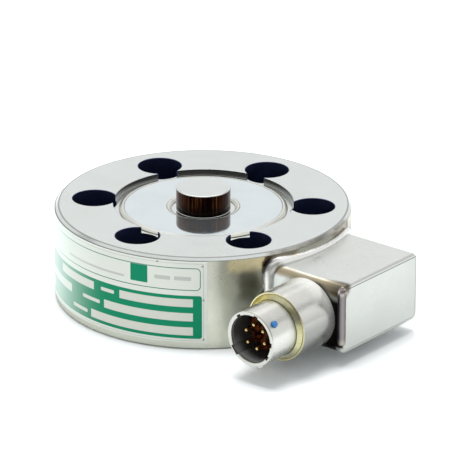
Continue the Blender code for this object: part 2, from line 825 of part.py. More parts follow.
def contact_places():
    places = []
    for index in range(CONTACT_COUNT):
        places.append(polar(CONTACT_CIRCLE_R, CONTACT_START_DEG + index * 360.0 / CONTACT_COUNT))
    return places


def build_insert(mat):
    """Insulator with one clear hole for each contact."""
    insert = turned(
        "connector_insert",
        [
            (0.0, INSERT_FACE),
            (INSERT_R - INSERT_CHAMFER, INSERT_FACE),
            (INSERT_R, INSERT_FACE - INSERT_CHAMFER),
            (INSERT_R, INSERT_BACK),
            (0.0, INSERT_BACK),
        ],
        mat,
        INSERT_SEGMENTS,
    )
    to_connector(insert)
    bm = bmesh.new()
    hole_r = CONTACT_D / 2 + SEAT_GAP
    for place in contact_places():
        middle = place + Vector((0.0, 0.0, (INSERT_FACE + INSERT_BACK) / 2))
        bmesh.ops.create_cone(
            bm,
            cap_ends=True,
            segments=CONTACT_SEGMENTS,
            radius1=hole_r,
            radius2=hole_r,
            depth=INSERT_FACE - INSERT_BACK + 4 * SEAT_GAP,
            matrix=Matrix.Translation(middle),
        )
    cut(insert, to_connector(helper(finish("contact_hole_cutter", bm))), "contact holes")


def build_contact(index, place, mat):
    """Turned contact with a round nose in front and a solder cup behind."""
    r = CONTACT_D / 2
    cup = CUP_D / 2
    bore = CUP_BORE_D / 2
    profile = [
        (0.0, CONTACT_TIP),
        (r * 0.55, CONTACT_TIP - r * 0.15),
        (r * 0.9, CONTACT_TIP - r * 0.5),
        (r, CONTACT_TIP - r),
        (r, SHELL_BACK),
        (cup, SHELL_BACK - (cup - r)),
        (cup, CUP_BACK),
        (bore, CUP_BACK),
        (bore, CUP_BACK + CUP_DEPTH),
        (0.0, CUP_BACK + CUP_DEPTH),
    ]
    bm = bmesh.new()
    turn_profile(bm, profile, CONTACT_SEGMENTS, Matrix.Translation(place))
    to_connector(finish(f"contact_pin_{index + 1}", bm, mat))


def build_signal_wire(index, place, mat):
    """Insulated wire from a solder cup, round the corner, through the passage and down to the board."""
    side = place.x * BUNDLE_SCALE
    rise = place.y * BUNDLE_SCALE
    bundle_z = PASSAGE_Z + rise
    pad_x = CAVITY_R - PAD_INSET - (PAD_PITCH if rise > 0 else 0.0)
    pad_y = side * PAD_SPREAD
    landing = BOARD_TOP + SEAT_GAP
    cup = Vector((CONNECTOR_X + place.x, SEAT_GAP - CUP_BACK, CONNECTOR_Z + place.y))
    straight = cup + Vector((0.0, WIRE_STRAIGHT, 0.0))
    mouth = Vector((BODY_R + BUNDLE_LEAD_IN, side, bundle_z))
    stations = [
        cup,
        straight,
        straight.lerp(mouth, 0.5) + Vector((WIRE_SWING, 0.0, 0.0)),
        mouth,
        Vector((BODY_R - BUNDLE_LEAD_IN, side, bundle_z)),
        Vector((CAVITY_R, side, bundle_z)),
        Vector((pad_x, pad_y, (bundle_z + landing) / 2)),
        Vector((pad_x, pad_y, landing)),
    ]
    tube_curve(f"signal_wire_{index + 1}", smooth_route(stations, WIRE_POINTS), WIRE_D, mat)


def build_name_plate(mat):
    """Thin sheet bent to the ring's side."""
    inner = BODY_R + LABEL_GAP
    outer = inner + PLATE_THICKNESS
    bm = bmesh.new()
    start = PLATE_RIGHT_DEG - PLATE_SPAN_DEG
    section = [
        bm.verts.new(polar(inner, start, PLATE_BOTTOM_MARGIN)),
        bm.verts.new(polar(outer, start, PLATE_BOTTOM_MARGIN)),
        bm.verts.new(polar(outer, start, PLATE_TOP)),
        bm.verts.new(polar(inner, start, PLATE_TOP)),
    ]
    face = bm.faces.new(section)
    bmesh.ops.spin(
        bm,
        geom=[face],
        cent=(0.0, 0.0, 0.0),
        axis=(0.0, 0.0, 1.0),
        angle=math.radians(PLATE_SPAN_DEG),
        steps=PLATE_SEGMENTS,
    )
    finish("name_plate", bm, mat)


def main():
    clear_scene()
    steel = material("turned stainless steel", (0.62, 0.63, 0.61), 0.28, 1.0)
    polished = material("polished membrane", (0.72, 0.74, 0.75), 0.08, 1.0)
    tinted = material("heat tinted weld", (0.55, 0.50, 0.36), 0.30, 1.0)
    sheet = material("satin sheet steel", (0.60, 0.61, 0.58), 0.34, 1.0)
    nickel = material("nickel plated shell", (0.70, 0.70, 0.66), 0.30, 1.0)
    passivated = material("yellow passivated ring", (0.45, 0.42, 0.16), 0.38, 1.0)
    dark = material("dark insulator", (0.05, 0.02, 0.01), 0.35, 0.0)
    gold = material("gold plated contact", (0.85, 0.62, 0.28), 0.22, 1.0)
    blue = material("blue paint", (0.03, 0.22, 0.55), 0.40, 0.0)
    print_sheet = material("printed plate", (0.60, 0.68, 0.62), 0.38, 0.0)
    board = material("green board", (0.02, 0.18, 0.07), 0.45, 0.0)
    foil = material("gauge foil carrier", (0.55, 0.38, 0.12), 0.40, 0.0)
    winding = material("resistor winding", (0.36, 0.15, 0.05), 0.40, 0.3)
    insulation = material("white wire insulation", (0.75, 0.74, 0.70), 0.50, 0.0)

    build_body(steel)
    build_membrane(polished, tinted)
    build_cover(steel)
    build_board(board)
    for index in range(BEAM_COUNT):
        build_gauge(index, foil, insulation)
    for index in range(RESISTOR_COUNT):
        build_resistor(index, winding)
    build_box(sheet, tinted)
    build_sleeve(steel)
    build_ring(passivated)
    build_shell(nickel)
    for index in range(STUD_COUNT):
        build_stud(index, blue if index == 0 else steel)
    build_insert(dark)
    for index, place in enumerate(contact_places()):
        build_contact(index, place, gold)
        build_signal_wire(index, place, insulation)
    build_name_plate(print_sheet)


main()
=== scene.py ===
import math

import bpy
from mathutils import Matrix, Vector


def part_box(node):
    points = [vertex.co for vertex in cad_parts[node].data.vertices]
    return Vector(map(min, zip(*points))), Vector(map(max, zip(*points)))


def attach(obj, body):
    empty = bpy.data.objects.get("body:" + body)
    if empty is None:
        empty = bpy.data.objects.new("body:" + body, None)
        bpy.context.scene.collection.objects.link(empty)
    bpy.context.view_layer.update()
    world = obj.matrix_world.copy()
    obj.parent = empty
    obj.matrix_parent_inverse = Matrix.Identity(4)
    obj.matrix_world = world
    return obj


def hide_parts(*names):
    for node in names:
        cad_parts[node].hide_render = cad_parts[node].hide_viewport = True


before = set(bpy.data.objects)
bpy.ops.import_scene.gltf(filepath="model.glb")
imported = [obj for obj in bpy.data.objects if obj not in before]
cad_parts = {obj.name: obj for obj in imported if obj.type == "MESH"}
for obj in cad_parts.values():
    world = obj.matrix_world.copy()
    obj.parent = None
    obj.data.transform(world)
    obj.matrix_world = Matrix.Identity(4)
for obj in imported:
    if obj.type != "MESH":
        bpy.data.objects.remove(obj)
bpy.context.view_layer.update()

mm = 0.001
X_AXIS = Vector((1.0, 0.0, 0.0))
Z_AXIS = Vector((0.0, 0.0, 1.0))


def low(node):
    return Vector(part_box(node)[0])


def high(node):
    return Vector(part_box(node)[1])


# Sizes read from the frame
RING_R = high("sensor_body").x
BUTTON_TOP = high("sensor_body").z
MEMBRANE_TOP = high("top_membrane").z
MEMBRANE_BOTTOM = low("top_membrane").z
MEMBRANE_R = high("top_membrane").x
WELD_R = high("membrane_outer_weld").x
HUB_WELD_R = high("membrane_inner_weld").x
BOARD_R = high("terminal_board").x
BOARD_TOP = high("terminal_board").z
COVER_R = high("bottom_cover").x
COVER_TOP = high("bottom_cover").z
BOX_LOW = low("box_shell")
BOX_HIGH = high("box_shell")
SLEEVE_LOW = low("connector_sleeve")
SLEEVE_HIGH = high("connector_sleeve")
CONNECTOR_X = (SLEEVE_LOW.x + SLEEVE_HIGH.x) / 2
CONNECTOR_Z = (SLEEVE_LOW.z + SLEEVE_HIGH.z) / 2
SLEEVE_R = (SLEEVE_HIGH.x - SLEEVE_LOW.x) / 2
SLEEVE_BACK = -SLEEVE_HIGH.y
SLEEVE_MOUTH = -SLEEVE_LOW.y
SHELL_BACK = -high("connector_shell").y
SHELL_MOUTH = -low("connector_shell").y
INSERT_FACE = -low("connector_insert").y
INSERT_BACK = -high("connector_insert").y
INSERT_R = (high("connector_insert").x - low("connector_insert").x) / 2
RING_BACK = -high("connector_ring").y
RING_FRONT = -low("connector_ring").y
CONTACT_TIP = -low("contact_pin_1").y
CONTACT_BACK = -high("contact_pin_1").y
PLATE_LOW = low("name_plate").z
PLATE_HIGH = high("name_plate").z


def polar(radius, degrees, z=0.0):
    angle = math.radians(degrees)
    return Vector((radius * math.cos(angle), radius * math.sin(angle), z))


# Ring: sizes that the frame's boxes don't give
SEAT_GAP = 0.3 * mm
RING_TOP = 25.7 * mm
RIM_CHAMFER = 0.8 * mm
RIM_INNER_R = RING_R - RIM_CHAMFER
RIM_FOOT_Z = RING_TOP - RIM_CHAMFER
FOOT_CHAMFER = 0.4 * mm
RECESS_R = 24.1 * mm
LEDGE_Z = 24.0 * mm
BUTTON_R = 7.25 * mm
BUTTON_EDGE = 0.35 * mm
HUB_R = 11.0 * mm
CAVITY_R = 20.0 * mm
WEB_TOP = 17.0 * mm
WEB_BOTTOM = 13.0 * mm
WEB_CORNER = 1.0 * mm
SCREW_HOLE_R = 5.95 * mm
SCREW_CHAMFER = 0.1 * mm
SCREW_CIRCLE_R = 29.25 * mm
SCREW_PLACES = [polar(SCREW_CIRCLE_R, 33.5 + 60.0 * index) for index in range(6)]
WINDOW_R = 15.5 * mm
WINDOW_W = 5.6 * mm
WINDOW_SPAN = 64.0
WINDOW_MIDDLES = (45.0, 135.0, 225.0, 315.0)
PASSAGE_R = 3.0 * mm
PASSAGE_Z = 8.85 * mm

# Junction box and its welds
BOX_WALL = 1.0 * mm
FRONT_FOLD_R = 2.4 * mm
OTHER_FOLD_R = 2.2 * mm
INNER_FOLD_R = 0.9 * mm
END_RIM_R = 0.88 * mm
END_CORNER_R = 0.8 * mm
SEAM_CORNER_R = 1.2 * mm
SEAM_W = 0.04 * mm
PORT_R = 7.2 * mm
BEAD_R = 1.2 * mm
BEAD_STEP = 0.28 * mm
BEAD_OFFSET = 0.15 * mm
BEAD_REACH = RING_R + 0.5 * mm
CORNER_X = BOX_HIGH.x - 0.66 * mm
CORNER_Y = BOX_LOW.y + 0.64 * mm
CORNER_STEP = 0.12 * mm

# Receptacle
CONNECTOR_CENTRE = (CONNECTOR_X, 0.0, CONNECTOR_Z)
LAID_ALONG_Y = (math.radians(90.0), 0.0, 0.0)
SLEEVE_BORE_R = SLEEVE_R - 0.5 * mm
SHELL_R = 7.55 * mm
SHELL_BORE_R = 6.4 * mm
SHELL_LIP_R = SHELL_BORE_R - 1.0 * mm
SHELL_LIP = 0.7 * mm
KEYWAY_ANGLES = (220.0, 325.0, 0.0, 75.0, 125.0)
KEYWAY_WIDTHS = (2.8 * mm, 1.3 * mm, 1.3 * mm, 1.3 * mm, 1.3 * mm)
KEYWAY_DEPTH = 0.6 * mm
STUD_R = 0.85 * mm
STUD_RISE = 0.8 * mm
STUD_ROOT = -0.4 * mm
STUD_LEVEL = SHELL_MOUTH - 2.4 * mm
CONTACT_R = 0.5 * mm
CONTACT_START = 40.0
STUD_ANGLES = [CONTACT_START + 120.0 * index for index in range(3)]
CONTACT_PLACES = [polar(3.23 * mm, CONTACT_START + 60.0 * index) for index in range(6)]
CUP_R = 0.75 * mm
CUP_BORE_R = 0.5 * mm
CUP_DEPTH = 1.8 * mm

# Name plate, with angles about the ring's axis in degrees
PLATE_R = RING_R + 0.15 * mm
PLATE_OUTER_R = PLATE_R + 0.25 * mm
PLATE_RIGHT = -48.9
PLATE_SPAN = 110.0

# Modelling: how far a cutter stands out, double points, and the angle kept sharp
OVER = 1.0 * mm
MERGE = 0.001 * mm
SHARP_ANGLE = 34.0
WELD_SHARP_ANGLE = 60.0
ROUNDING_STEPS = 4
RING_SEGMENTS = 256
SLEEVE_SEGMENTS = 192
SMALL_SEGMENTS = 40


# Modelling helpers

def pick(*objects):
    """Select these objects alone, with the first one active."""
    bpy.ops.object.select_all(action="DESELECT")
    for obj in objects:
        obj.select_set(True)
    bpy.context.view_layer.objects.active = objects[0]


def added(name):
    """The object that an operator has just made, named and picked."""
    obj = bpy.context.object
    obj.name = name
    pick(obj)
    return obj


def place(obj, **settings):
    """Set an object's place, turn or scale, and move them into its mesh."""
    for key, value in settings.items():
        setattr(obj, key, value)
    pick(obj)
    bpy.ops.object.transform_apply(location=True, rotation=True, scale=True)
    return obj


def on_connector(obj):
    """Lay a piece that was turned about Z on the receptacle's axis, looking along -Y."""
    return place(obj, rotation_euler=LAID_ALONG_Y, location=CONNECTOR_CENTRE)


def use_modifier(obj, kind, **settings):
    pick(obj)
    modifier = obj.modifiers.new(kind.lower(), kind)
    for key, value in settings.items():
        setattr(modifier, key, value)
    bpy.ops.object.modifier_apply(modifier=modifier.name)


def cut(obj, *cutters):
    """Take the cutters out of an object, and remove them."""
    for cutter in cutters:
        use_modifier(obj, "BOOLEAN", operation="DIFFERENCE", solver="EXACT", object=cutter)
        bpy.data.objects.remove(cutter, do_unlink=True)


def clean_mesh():
    """Merge double points, turn all faces outwards and leave edit mode."""
    bpy.ops.mesh.select_all(action="SELECT")
    bpy.ops.mesh.remove_doubles(threshold=MERGE)
    bpy.ops.mesh.normals_make_consistent(inside=False)
    bpy.ops.object.mode_set(mode="OBJECT")


def rounded(corners):
    """Profile points from corners of radius and height, and of a rounding where they have one."""
    points = []
    for index, corner in enumerate(corners):
        r, z, rounding = (*corner, 0.0)[:3]
        here = Vector((r, z))
        if rounding <= 0.0:
            points.append(here)
            continue
        before = (Vector(corners[index - 1][:2]) - here).normalized()
        after = (Vector(corners[(index + 1) % len(corners)][:2]) - here).normalized()
        half = before.angle(after) / 2
        centre = here + (before + after).normalized() * (rounding / math.sin(half))
        start = (here + before * (rounding / math.tan(half)) - centre).normalized()
        end = (here + after * (rounding / math.tan(half)) - centre).normalized()
        for step in range(ROUNDING_STEPS + 1):
            points.append(centre + start.slerp(end, step / ROUNDING_STEPS) * rounding)
    return points


def lathe(name, corners, segments, turn=360.0, start=0.0):
    """Turn an outline about Z, as on a lathe: one point is extruded along it, then spun.
    An outline that starts on the axis ends there too. Any other one is closed."""
    points = rounded(corners)
    if corners[0][0] > 0.0:
        points.append(points[0])
    direction = polar(1.0, start)
    stations = [direction * p.x + Z_AXIS * p.y for p in points]
    bpy.ops.mesh.primitive_plane_add(size=mm, location=stations[0])
    obj = added(name)
    bpy.ops.object.mode_set(mode="EDIT")
    bpy.ops.mesh.select_mode(type="VERT")
    bpy.ops.mesh.select_all(action="SELECT")
    bpy.ops.mesh.merge(type="CENTER")
    for before, after in zip(stations, stations[1:]):
        bpy.ops.mesh.extrude_region_move(TRANSFORM_OT_translate={"value": after - before})
    bpy.ops.mesh.select_all(action="SELECT")
    if turn < 360.0:
        bpy.ops.mesh.remove_doubles(threshold=MERGE)
        bpy.ops.mesh.edge_face_add()
    bpy.ops.mesh.spin(
        steps=segments, angle=math.radians(-turn), center=(0.0, 0.0, 0.0), axis=Z_AXIS
    )
    clean_mesh()
    return place(obj)


def rectangle(inner, outer, bottom, top, inner_edge=0.0, outer_edge=0.0):
    """Profile of a plain ring or disc, with its two upper edges rounded."""
    return [
        (inner, top, inner_edge),
        (outer, top, outer_edge),
        (outer, bottom),
        (inner, bottom),
    ]


def block(name, lowest, highest):
    """A cube at its size and place."""
    lowest = Vector(lowest)
    highest = Vector(highest)
    bpy.ops.mesh.primitive_cube_add(size=1.0, location=(lowest + highest) / 2)
    return place(added(name), scale=highest - lowest)


def rod(name, radius, start, end, sides=96):
    """A cylinder between two points."""
    start = Vector(start)
    along = Vector(end) - start
    bpy.ops.mesh.primitive_cylinder_add(
        vertices=sides, radius=radius, depth=along.length, location=start + along / 2
    )
    return place(added(name), rotation_euler=along.to_track_quat("Z", "Y").to_euler())


def bevel_edges(obj, test, offset, steps):
    """Round the edges whose two ends pass a test."""
    pick(obj)
    bpy.ops.object.mode_set(mode="EDIT")
    bpy.ops.mesh.select_mode(type="EDGE")
    bpy.ops.mesh.select_all(action="DESELECT")
    bpy.ops.object.mode_set(mode="OBJECT")
    points = obj.data.vertices
    for edge in obj.data.edges:
        first, last = edge.vertices
        edge.select = test(points[first].co, points[last].co)
    bpy.ops.object.mode_set(mode="EDIT")
    bpy.ops.mesh.bevel(offset=offset, segments=steps, profile=0.5, affect="EDGES")
    bpy.ops.object.mode_set(mode="OBJECT")


def joined(name, objects):
    pick(*objects)
    bpy.ops.object.join()
    return added(name)


def tube(name, points, radii, closed=False):
    """A round bead along points, with a radius at each of them, made a mesh."""
    curve = bpy.data.curves.new(name, "CURVE")
    curve.dimensions = "3D"
    curve.bevel_depth = 1.0
    curve.bevel_resolution = 5
    curve.use_fill_caps = not closed
    spline = curve.splines.new("POLY")
    spline.points.add(len(points) - 1)
    for target, point, radius in zip(spline.points, points, radii):
        target.co = (*point, 1.0)
        target.radius = radius
    spline.use_cyclic_u = closed
    obj = bpy.data.objects.new(name, curve)
    bpy.context.scene.collection.objects.link(obj)
    pick(obj)
    bpy.ops.object.convert(target="MESH")
    bpy.ops.object.mode_set(mode="EDIT")
    clean_mesh()
    bpy.ops.object.shade_smooth()
    return bpy.context.object


def even_shading(obj, angle=SHARP_ANGLE):
    """Smooth the round faces and keep the flat ones flat."""
    pick(obj)
    bpy.ops.object.shade_smooth_by_angle(angle=math.radians(angle))
    use_modifier(obj, "WEIGHTED_NORMAL", keep_sharp=True)


def coat(obj, *materials):
    """Give an object these materials and no others."""
    obj.data.materials.clear()
    for mat in materials:
        obj.data.materials.append(mat)


def finished(obj, mat, slot, *nodes):
    """A visual piece rides on the one body and stands for its CAD nodes; its slot is not used."""
    coat(obj, mat)
    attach(obj, "root")
    if nodes:
        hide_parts(*nodes)


def shaded(obj, mat, slot, *nodes, angle=SHARP_ANGLE):
    """The same, for a piece whose flat faces stay flat."""
    even_shading(obj, angle)
    finished(obj, mat, slot, *nodes)


# Material helpers

class Graph:
    """Short calls for adding linked nodes to a tree."""

    def __init__(self, tree):
        self.tree = tree

    def node(self, kind, **settings):
        made = self.tree.nodes.new(kind)
        for key, value in settings.items():
            setattr(made, key, value)
        return made

    def feed(self, socket, value):
        """Link a socket to another one, or set its constant."""
        if isinstance(value, bpy.types.NodeSocket):
            self.tree.links.new(value, socket)
        elif socket.type == "RGBA":
            socket.default_value = (*value, 1.0)
        else:
            socket.default_value = value

    def fill(self, made, **values):
        """Feed a node's inputs by their names, with _ for a space. Returns its outputs."""
        for name, value in values.items():
            self.feed(made.inputs[name.replace("_", " ")], value)
        return made.outputs

    def math(self, operation, a, b=0.0, clamp=False):
        made = self.node("ShaderNodeMath", operation=operation, use_clamp=clamp)
        self.feed(made.inputs[0], a)
        self.feed(made.inputs[1], b)
        return made.outputs[0]

    def add(self, a, b):
        return self.math("ADD", a, b)

    def sub(self, a, b):
        return self.math("SUBTRACT", a, b)

    def mul(self, first, *others):
        for other in others:
            first = self.math("MULTIPLY", first, other)
        return first

    def vary(self, base, value, share):
        """A base plus a share of a value."""
        return self.add(base, self.mul(value, share))

    def length(self, x, y):
        return self.math("SQRT", self.add(self.mul(x, x), self.mul(y, y)))

    def angle(self, x, y):
        return self.math("ARCTAN2", y, x)

    def step(self, value, start, end, to_low=0.0, to_high=1.0):
        """Smooth step of a value from one number to another."""
        made = self.node("ShaderNodeMapRange", interpolation_type="SMOOTHSTEP")
        return self.fill(
            made, Value=value, From_Min=start, From_Max=end, To_Min=to_low, To_Max=to_high
        )[0]

    def fall(self, value, start, end, height=1.0):
        """Smooth step down from a height to 0."""
        return self.step(value, start, end, height, 0.0)

    def band(self, value, centre, half_width, softness):
        """1 within a half width of a centre, falling softly to 0."""
        away = self.math("ABSOLUTE", self.sub(value, centre))
        return self.fall(away, half_width, half_width + softness)

    def mix(self, factor, a, b):
        made = self.node("ShaderNodeMix", data_type="RGBA")
        self.feed(made.inputs[0], factor)
        self.feed(made.inputs[6], a)
        self.feed(made.inputs[7], b)
        return made.outputs[2]

    def ramp(self, factor, stops):
        made = self.node("ShaderNodeValToRGB")
        elements = made.color_ramp.elements
        while len(elements) < len(stops):
            elements.new(0.5)
        for element, (position, colour) in zip(elements, stops):
            element.position = position
            element.color = (*colour, 1.0)
        return self.fill(made, Fac=factor)[0]

    def noise(self, vector, scale, detail=2.0, roughness=0.5, distortion=0.0):
        return self.fill(
            self.node("ShaderNodeTexNoise"),
            Vector=vector,
            Scale=scale,
            Detail=detail,
            Roughness=roughness,
            Distortion=distortion,
        )["Fac"]

    def split(self, vector):
        return self.fill(self.node("ShaderNodeSeparateXYZ"), Vector=vector)[:]

    def join(self, x, y, z):
        return self.fill(self.node("ShaderNodeCombineXYZ"), X=x, Y=y, Z=z)[0]

    def group(self, tree, **values):
        return self.fill(self.node("ShaderNodeGroup", node_tree=tree), **values)


SOCKET_KINDS = {"Vector": "NodeSocketVector", "Colour": "NodeSocketColor"}


def new_group(name, inputs, outputs):
    """An empty node group with its sockets, which are numbers unless their names say otherwise.
    Returns (tree, graph, inputs to read, output node)."""
    tree = bpy.data.node_groups.new(name, "ShaderNodeTree")
    for labels, in_out in ((inputs, "INPUT"), (outputs, "OUTPUT")):
        for label in labels:
            kind = SOCKET_KINDS.get(label, "NodeSocketFloat")
            tree.interface.new_socket(label, in_out=in_out, socket_type=kind)
    graph = Graph(tree)
    return tree, graph, graph.node("NodeGroupInput").outputs, graph.node("NodeGroupOutput")


def make_turning_group():
    """Fine rings that a lathe tool leaves, and broad soft streaks, about the vector's Z axis."""
    tree, g, entry, leave = new_group("turning marks", ("Vector",), ("Height", "Streak"))
    x, y, z = g.split(entry["Vector"])
    radius = g.length(x, y)
    angle = g.angle(x, y)
    rings = g.join(g.mul(radius, TOOL_PITCH), g.mul(angle, 1.5), g.mul(z, TOOL_PITCH))
    streaks = g.join(g.mul(radius, 60.0), angle, g.mul(z, 60.0))
    g.fill(leave, Height=g.noise(rings, 1.0, 3.0, 0.6), Streak=g.noise(streaks, 2.2, 3.0, 0.5))
    return tree


def make_wear_group():
    """Handling marks: cloudy smudges and thin scratches."""
    tree, g, entry, leave = new_group(
        "handling marks", ("Vector", "Size"), ("Smudge", "Scratch")
    )
    scaler = g.node("ShaderNodeVectorMath", operation="SCALE")
    scaled = g.fill(scaler, Vector=entry["Vector"], Scale=entry["Size"])[0]
    stretched = g.fill(
        g.node("ShaderNodeMapping"),
        Vector=scaled,
        Rotation=(0.3, 0.2, 0.7),
        Scale=(1.0, 26.0, 9.0),
    )[0]
    cloud = g.noise(scaled, 1.0, 4.0, 0.55, 0.4)
    lines = g.noise(stretched, 1.3, 2.0, 0.4)
    g.fill(leave, Smudge=g.step(cloud, 0.35, 0.72), Scratch=g.step(lines, 0.66, 0.72))
    return tree


def make_print_group():
    """A rounded rectangle of print, and the line round its edge, on arc length S and height Z."""
    tree, g, entry, leave = new_group(
        "print field",
        ("S", "Z", "Left", "Right", "Bottom", "Top", "Corner", "Line"),
        ("Field", "Outline"),
    )
    blur = 0.04

    def overhang(value, near, far):
        middle = g.mul(g.add(near, far), 0.5)
        half = g.mul(g.sub(far, near), 0.5)
        away = g.math("ABSOLUTE", g.sub(value, middle))
        return g.add(g.sub(away, half), entry["Corner"])

    across = overhang(entry["S"], entry["Left"], entry["Right"])
    upright = overhang(entry["Z"], entry["Bottom"], entry["Top"])
    outside = g.length(g.math("MAXIMUM", across, 0.0), g.math("MAXIMUM", upright, 0.0))
    inside = g.math("MINIMUM", g.math("MAXIMUM", across, upright), 0.0)
    distance = g.sub(g.add(outside, inside), entry["Corner"])
    from_line = g.sub(g.math("ABSOLUTE", distance), g.mul(entry["Line"], 0.5))
    g.fill(leave, Field=g.fall(distance, -blur, blur), Outline=g.fall(from_line, -blur, blur))
    return tree


def make_heat_group():
    """Oxide colours of heated steel, from bare at 0 through straw and bronze to blue at 1."""
    tree, g, entry, leave = new_group("weld heat", ("Vector", "Heat"), ("Colour", "Mask"))
    drift = g.sub(g.noise(entry["Vector"], 330.0, 3.0, 0.6, 0.6), 0.5)
    heat = g.math("ADD", entry["Heat"], g.mul(drift, 0.28), clamp=True)
    oxides = [
        (0.0, (0.64, 0.64, 0.60)),
        (0.28, (0.66, 0.58, 0.36)),
        (0.46, (0.56, 0.36, 0.13)),
        (0.62, (0.32, 0.15, 0.10)),
        (0.76, (0.17, 0.13, 0.26)),
        (0.90, (0.24, 0.34, 0.52)),
        (1.0, (0.50, 0.52, 0.54)),
    ]
    g.fill(leave, Colour=g.ramp(heat, oxides), Mask=g.step(heat, 0.05, 0.3))
    return tree


TOOL_PITCH = 2600.0
TOOL_DEPTH = 0.02 * mm
TURNING = make_turning_group()
WEAR = make_wear_group()
PRINT = make_print_group()
HEAT = make_heat_group()


class Finish(Graph):
    """A material's graph, with its shader and its object coordinates."""

    def __init__(self, name, metallic, centre=None):
        self.mat = bpy.data.materials.new(name)
        self.mat.use_nodes = True
        super().__init__(self.mat.node_tree)
        self.shader = self.tree.nodes["Principled BSDF"]
        self.set(Metallic=metallic)
        self.place = self.node("ShaderNodeTexCoord").outputs["Object"]
        self.axial = self.place
        if centre is not None:
            mapping = self.node("ShaderNodeMapping", vector_type="TEXTURE")
            self.axial = self.fill(
                mapping, Vector=self.place, Location=centre, Rotation=LAID_ALONG_Y
            )[0]

    def set(self, **values):
        self.fill(self.shader, **values)

    def marks(self):
        return self.group(TURNING, Vector=self.axial)

    def wear(self, size):
        return self.group(WEAR, Vector=self.place, Size=size)

    def done(self, colour, roughness, height, strength, distance=TOOL_DEPTH):
        """Feed the shader its colour, roughness and bump. Returns the material."""
        bump = self.node("ShaderNodeBump")
        normal = self.fill(bump, Height=height, Strength=strength, Distance=distance)[0]
        self.set(Base_Color=colour, Roughness=roughness, Normal=normal)
        return self.mat


# Materials

def turned_shade(f, marks, wear, colour, dark, smudge):
    """Colour of turned metal, darker in its streaks and smudges."""
    shade = f.mix(f.mul(marks["Streak"], 0.5), colour, dark)
    return f.mix(f.mul(wear["Smudge"], 0.25), shade, smudge)


def scratched(f, wear, roughness):
    return f.vary(f.vary(roughness, wear["Smudge"], 0.07), wear["Scratch"], 0.08)


def turned_metal(name, colour, dark, roughness, strength):
    """Turned metal with tool marks, smudges and scratches."""
    f = Finish(name, 1.0)
    marks, wear = f.marks(), f.wear(90.0)
    shade = turned_shade(f, marks, wear, colour, dark, dark)
    return f.done(shade, scratched(f, wear, roughness), marks["Height"], strength)


def sleeve_steel():
    """Turned sleeve: dull towards the box, painted shade on its lower side and its right flank,
    straw on its mouth.
    """
    f = Finish("sleeve steel", 1.0, CONNECTOR_CENTRE)
    marks, wear = f.marks(), f.wear(90.0)
    x, y, z = f.split(f.place)
    dark = (0.58, 0.58, 0.54)
    shade = turned_shade(f, marks, wear, (0.74, 0.74, 0.70), dark, dark)
    # Painted shade: the sleeve is darkened on its lower side, and on its right flank fading out
    # above its axis
    painted_shade_below = f.fall(z, CONNECTOR_Z - 0.55 * SLEEVE_R, CONNECTOR_Z + 0.45 * SLEEVE_R, 0.62)
    right = f.step(x, CONNECTOR_X + 0.2 * SLEEVE_R, CONNECTOR_X + 0.9 * SLEEVE_R, 0.0, 0.9)
    right = f.mul(right, f.fall(z, CONNECTOR_Z, CONNECTOR_Z + 0.65 * SLEEVE_R))
    shade = f.mix(f.math("MAXIMUM", painted_shade_below, right), shade, (0.26, 0.26, 0.245))
    mouth = f.fall(y, -SLEEVE_MOUTH + 0.1 * mm, -SLEEVE_MOUTH + 0.3 * mm, 0.75)
    shade = f.mix(mouth, shade, (0.60, 0.54, 0.27))
    f.set(Metallic=f.step(y, -SLEEVE_BACK - 6.0 * mm, -SLEEVE_BACK - 0.8 * mm, 1.0, 0.45))
    return f.done(shade, scratched(f, wear, 0.20), marks["Height"], 0.35)


def nickel_plate():
    """Satin plate on the barrel, greyer on its mouth, with painted shade on its lower side, and a
    dull dark film down its bore with painted shade: near black deep in and at the top, lighter at
    the bottom.
    """
    f = Finish("nickel plate", 1.0, CONNECTOR_CENTRE)
    marks, wear = f.marks(), f.wear(90.0)
    x, y, z = f.split(f.axial)
    _, _, level = f.split(f.place)
    bright, dark, smudge = (0.70, 0.705, 0.66), (0.55, 0.555, 0.51), (0.46, 0.46, 0.43)
    shade = turned_shade(f, marks, wear, bright, dark, smudge)
    # Painted shade on the barrel's lower side
    lower = f.fall(level, CONNECTOR_Z - 0.8 * SHELL_R, CONNECTOR_Z)
    shade = f.mix(f.mul(lower, 0.35), shade, (0.36, 0.36, 0.34))
    mouth = f.step(z, SHELL_MOUTH - 0.4 * mm, SHELL_MOUTH - 0.1 * mm, 0.0, 0.7)
    shade = f.mix(mouth, shade, (0.50, 0.505, 0.46))
    keyway_r = SHELL_BORE_R + KEYWAY_DEPTH
    inside = f.mul(
        f.fall(f.length(x, y), keyway_r + 0.1 * mm, keyway_r + 0.2 * mm),
        f.fall(z, SHELL_MOUTH - 1.4 * mm, SHELL_MOUTH - 0.15 * mm, 0.95),
    )
    # Painted shade inside the bore: near black at the top and deep in, lighter grey at the bottom
    # near the mouth
    film = f.mix(lower, (0.02, 0.018, 0.019), (0.30, 0.305, 0.31))
    outer_part = f.step(z, SHELL_MOUTH - 5.0 * mm, SHELL_MOUTH - 1.0 * mm)
    film = f.mix(outer_part, (0.010, 0.008, 0.007), film)
    f.set(Metallic=f.sub(1.0, inside))
    rough = f.vary(0.26, wear["Smudge"], 0.07)
    return f.done(f.mix(inside, shade, film), rough, marks["Height"], 0.3)


